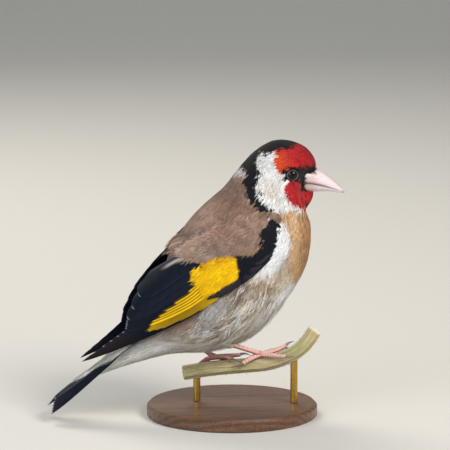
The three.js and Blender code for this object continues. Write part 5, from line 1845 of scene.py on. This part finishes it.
def brassMaterial():
    material, add, shader = newMaterial("brushedBrass", {"Metallic": 1.0})
    place = add("TexCoord")
    stretched = add("Mapping", {"Vector": (place, "Object"), "Scale": (900, 900, 14000)})
    lines = add("TexNoise", {"Vector": stretched, "Scale": 1.0, "Detail": 3.0})
    stops = [(0.25, standShades["brassDull"]), (0.6, standShades["brass"])]
    ramp = add("ValToRGB", {"Fac": lines}, stops=stops)
    rough = add("MapRange", {"Value": lines, "To Min": 0.24, "To Max": 0.42})
    feed((rough, "Result"), shader.inputs["Roughness"])
    dress(add, shader, ramp, lines, 0.1, 0.00003)
    return material


walnut, brass = walnutMaterial(), brassMaterial()
for nodeName, material in (("stand_base", walnut), ("stand_rod_back", brass), ("stand_rod_front", brass)):
    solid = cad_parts[nodeName]
    solid.data.materials.clear()
    solid.data.materials.append(material)
print("stand dressed")


# Pale floor that sweeps up behind, soft lamps and the camera at the photograph's angle.

studio = {
    "floorColour": "#C9C7C1", "azimuth": -8.0, "elevation": 10.0, "frameWidth": 148.03, "lens": 300.0,
    "aim": [-2.3, 62.2],  # the frame's centre, right and up of the origin, in millimetres
    "worldColour": "#DDE6F0", "worldStrength": 0.40,
}
lamps = [{"name": "keyLamp", "at": [420, -520, 620], "size": 0.42, "power": 7.4, "colour": "#FFF8F0"},
    {"name": "fillLamp", "at": [-520, -420, 260], "size": 0.6, "power": 2.6, "colour": "#E6F0FF"},
    {"name": "backLamp", "at": [-200, 520, 560], "size": 0.45, "power": 3.6, "colour": "#FFF8EE"}]


def makeFloor():
    sockets = {"Base Color": colour4(studio["floorColour"]), "Roughness": 0.9, "Specular IOR Level": 0.2}
    floorPaint = newMaterial("matFloorPaint", sockets)[0]  # matt emulsion on board
    depth = np.concatenate([np.linspace(-1500, 900, 9), 900 + 500 * np.sin(np.linspace(0.15, math.pi / 2,
        10))])
    height = np.concatenate([np.zeros(9), 500 * (1 - np.cos(np.linspace(0.15, math.pi / 2, 10)))])
    depth, height = np.append(depth, 1400), np.append(height, 2200)
    points = np.array([[x, y, z] for y, z in zip(depth, height) for x in (-2200, 2200)]) * mm
    mesh = bpy.data.meshes.new("floor")
    faces = [(2 * i, 2 * i + 1, 2 * i + 3, 2 * i + 2) for i in range(len(depth) - 1)]
    mesh.from_pydata(points.tolist(), [], faces)
    for polygon in mesh.polygons:
        polygon.use_smooth = True
    mesh.materials.append(floorPaint)
    floor = placed("floor", mesh)


def makeLamps():
    target = Vector((0, 0, 0.045))
    for lamp in lamps:
        light = bpy.data.lights.new(lamp["name"], "AREA")
        light.shape = "DISK"
        light.size = lamp["size"]
        light.energy = lamp["power"]
        light.color = linearOf(lamp["colour"])
        holder = placed(lamp["name"], light)
        holder.location = Vector(lamp["at"]) * mm
        holder.rotation_euler = (target - holder.location).to_track_quat("-Z", "Y").to_euler()
    world = bpy.data.worlds.new("studioWorld")
    world.use_nodes = True
    background = world.node_tree.nodes["Background"]
    background.inputs["Color"].default_value = colour4(studio["worldColour"])
    background.inputs["Strength"].default_value = studio["worldStrength"]
    bpy.context.scene.world = world


def makeCamera():
    a, e = math.radians(studio["azimuth"]), math.radians(studio["elevation"])
    right = Vector((math.cos(a), math.sin(a), 0))
    up = Vector((-math.sin(e) * math.sin(a), math.sin(e) * math.cos(a), math.cos(e)))
    away = Vector((-math.sin(a) * math.cos(e), math.cos(a) * math.cos(e), -math.sin(e)))
    camera = bpy.data.cameras.new("camera")
    camera.lens = studio["lens"]
    camera.sensor_width = 36.0
    distance = studio["frameWidth"] * studio["lens"] / camera.sensor_width
    camera.clip_end = 10.0
    camera.clip_start = 0.01
    holder = placed("camera", camera)
    aim = right * studio["aim"][0] + up * studio["aim"][1]
    turn = Matrix((right, up, -away)).transposed().to_4x4()
    holder.matrix_world = Matrix.Translation((aim - away * distance) * mm) @ turn
    bpy.context.scene.camera = holder


makeFloor()
makeLamps()
makeCamera()
bpy.context.scene.view_settings.view_transform = "Standard"
bpy.context.view_layer.update()

print("scene ready")
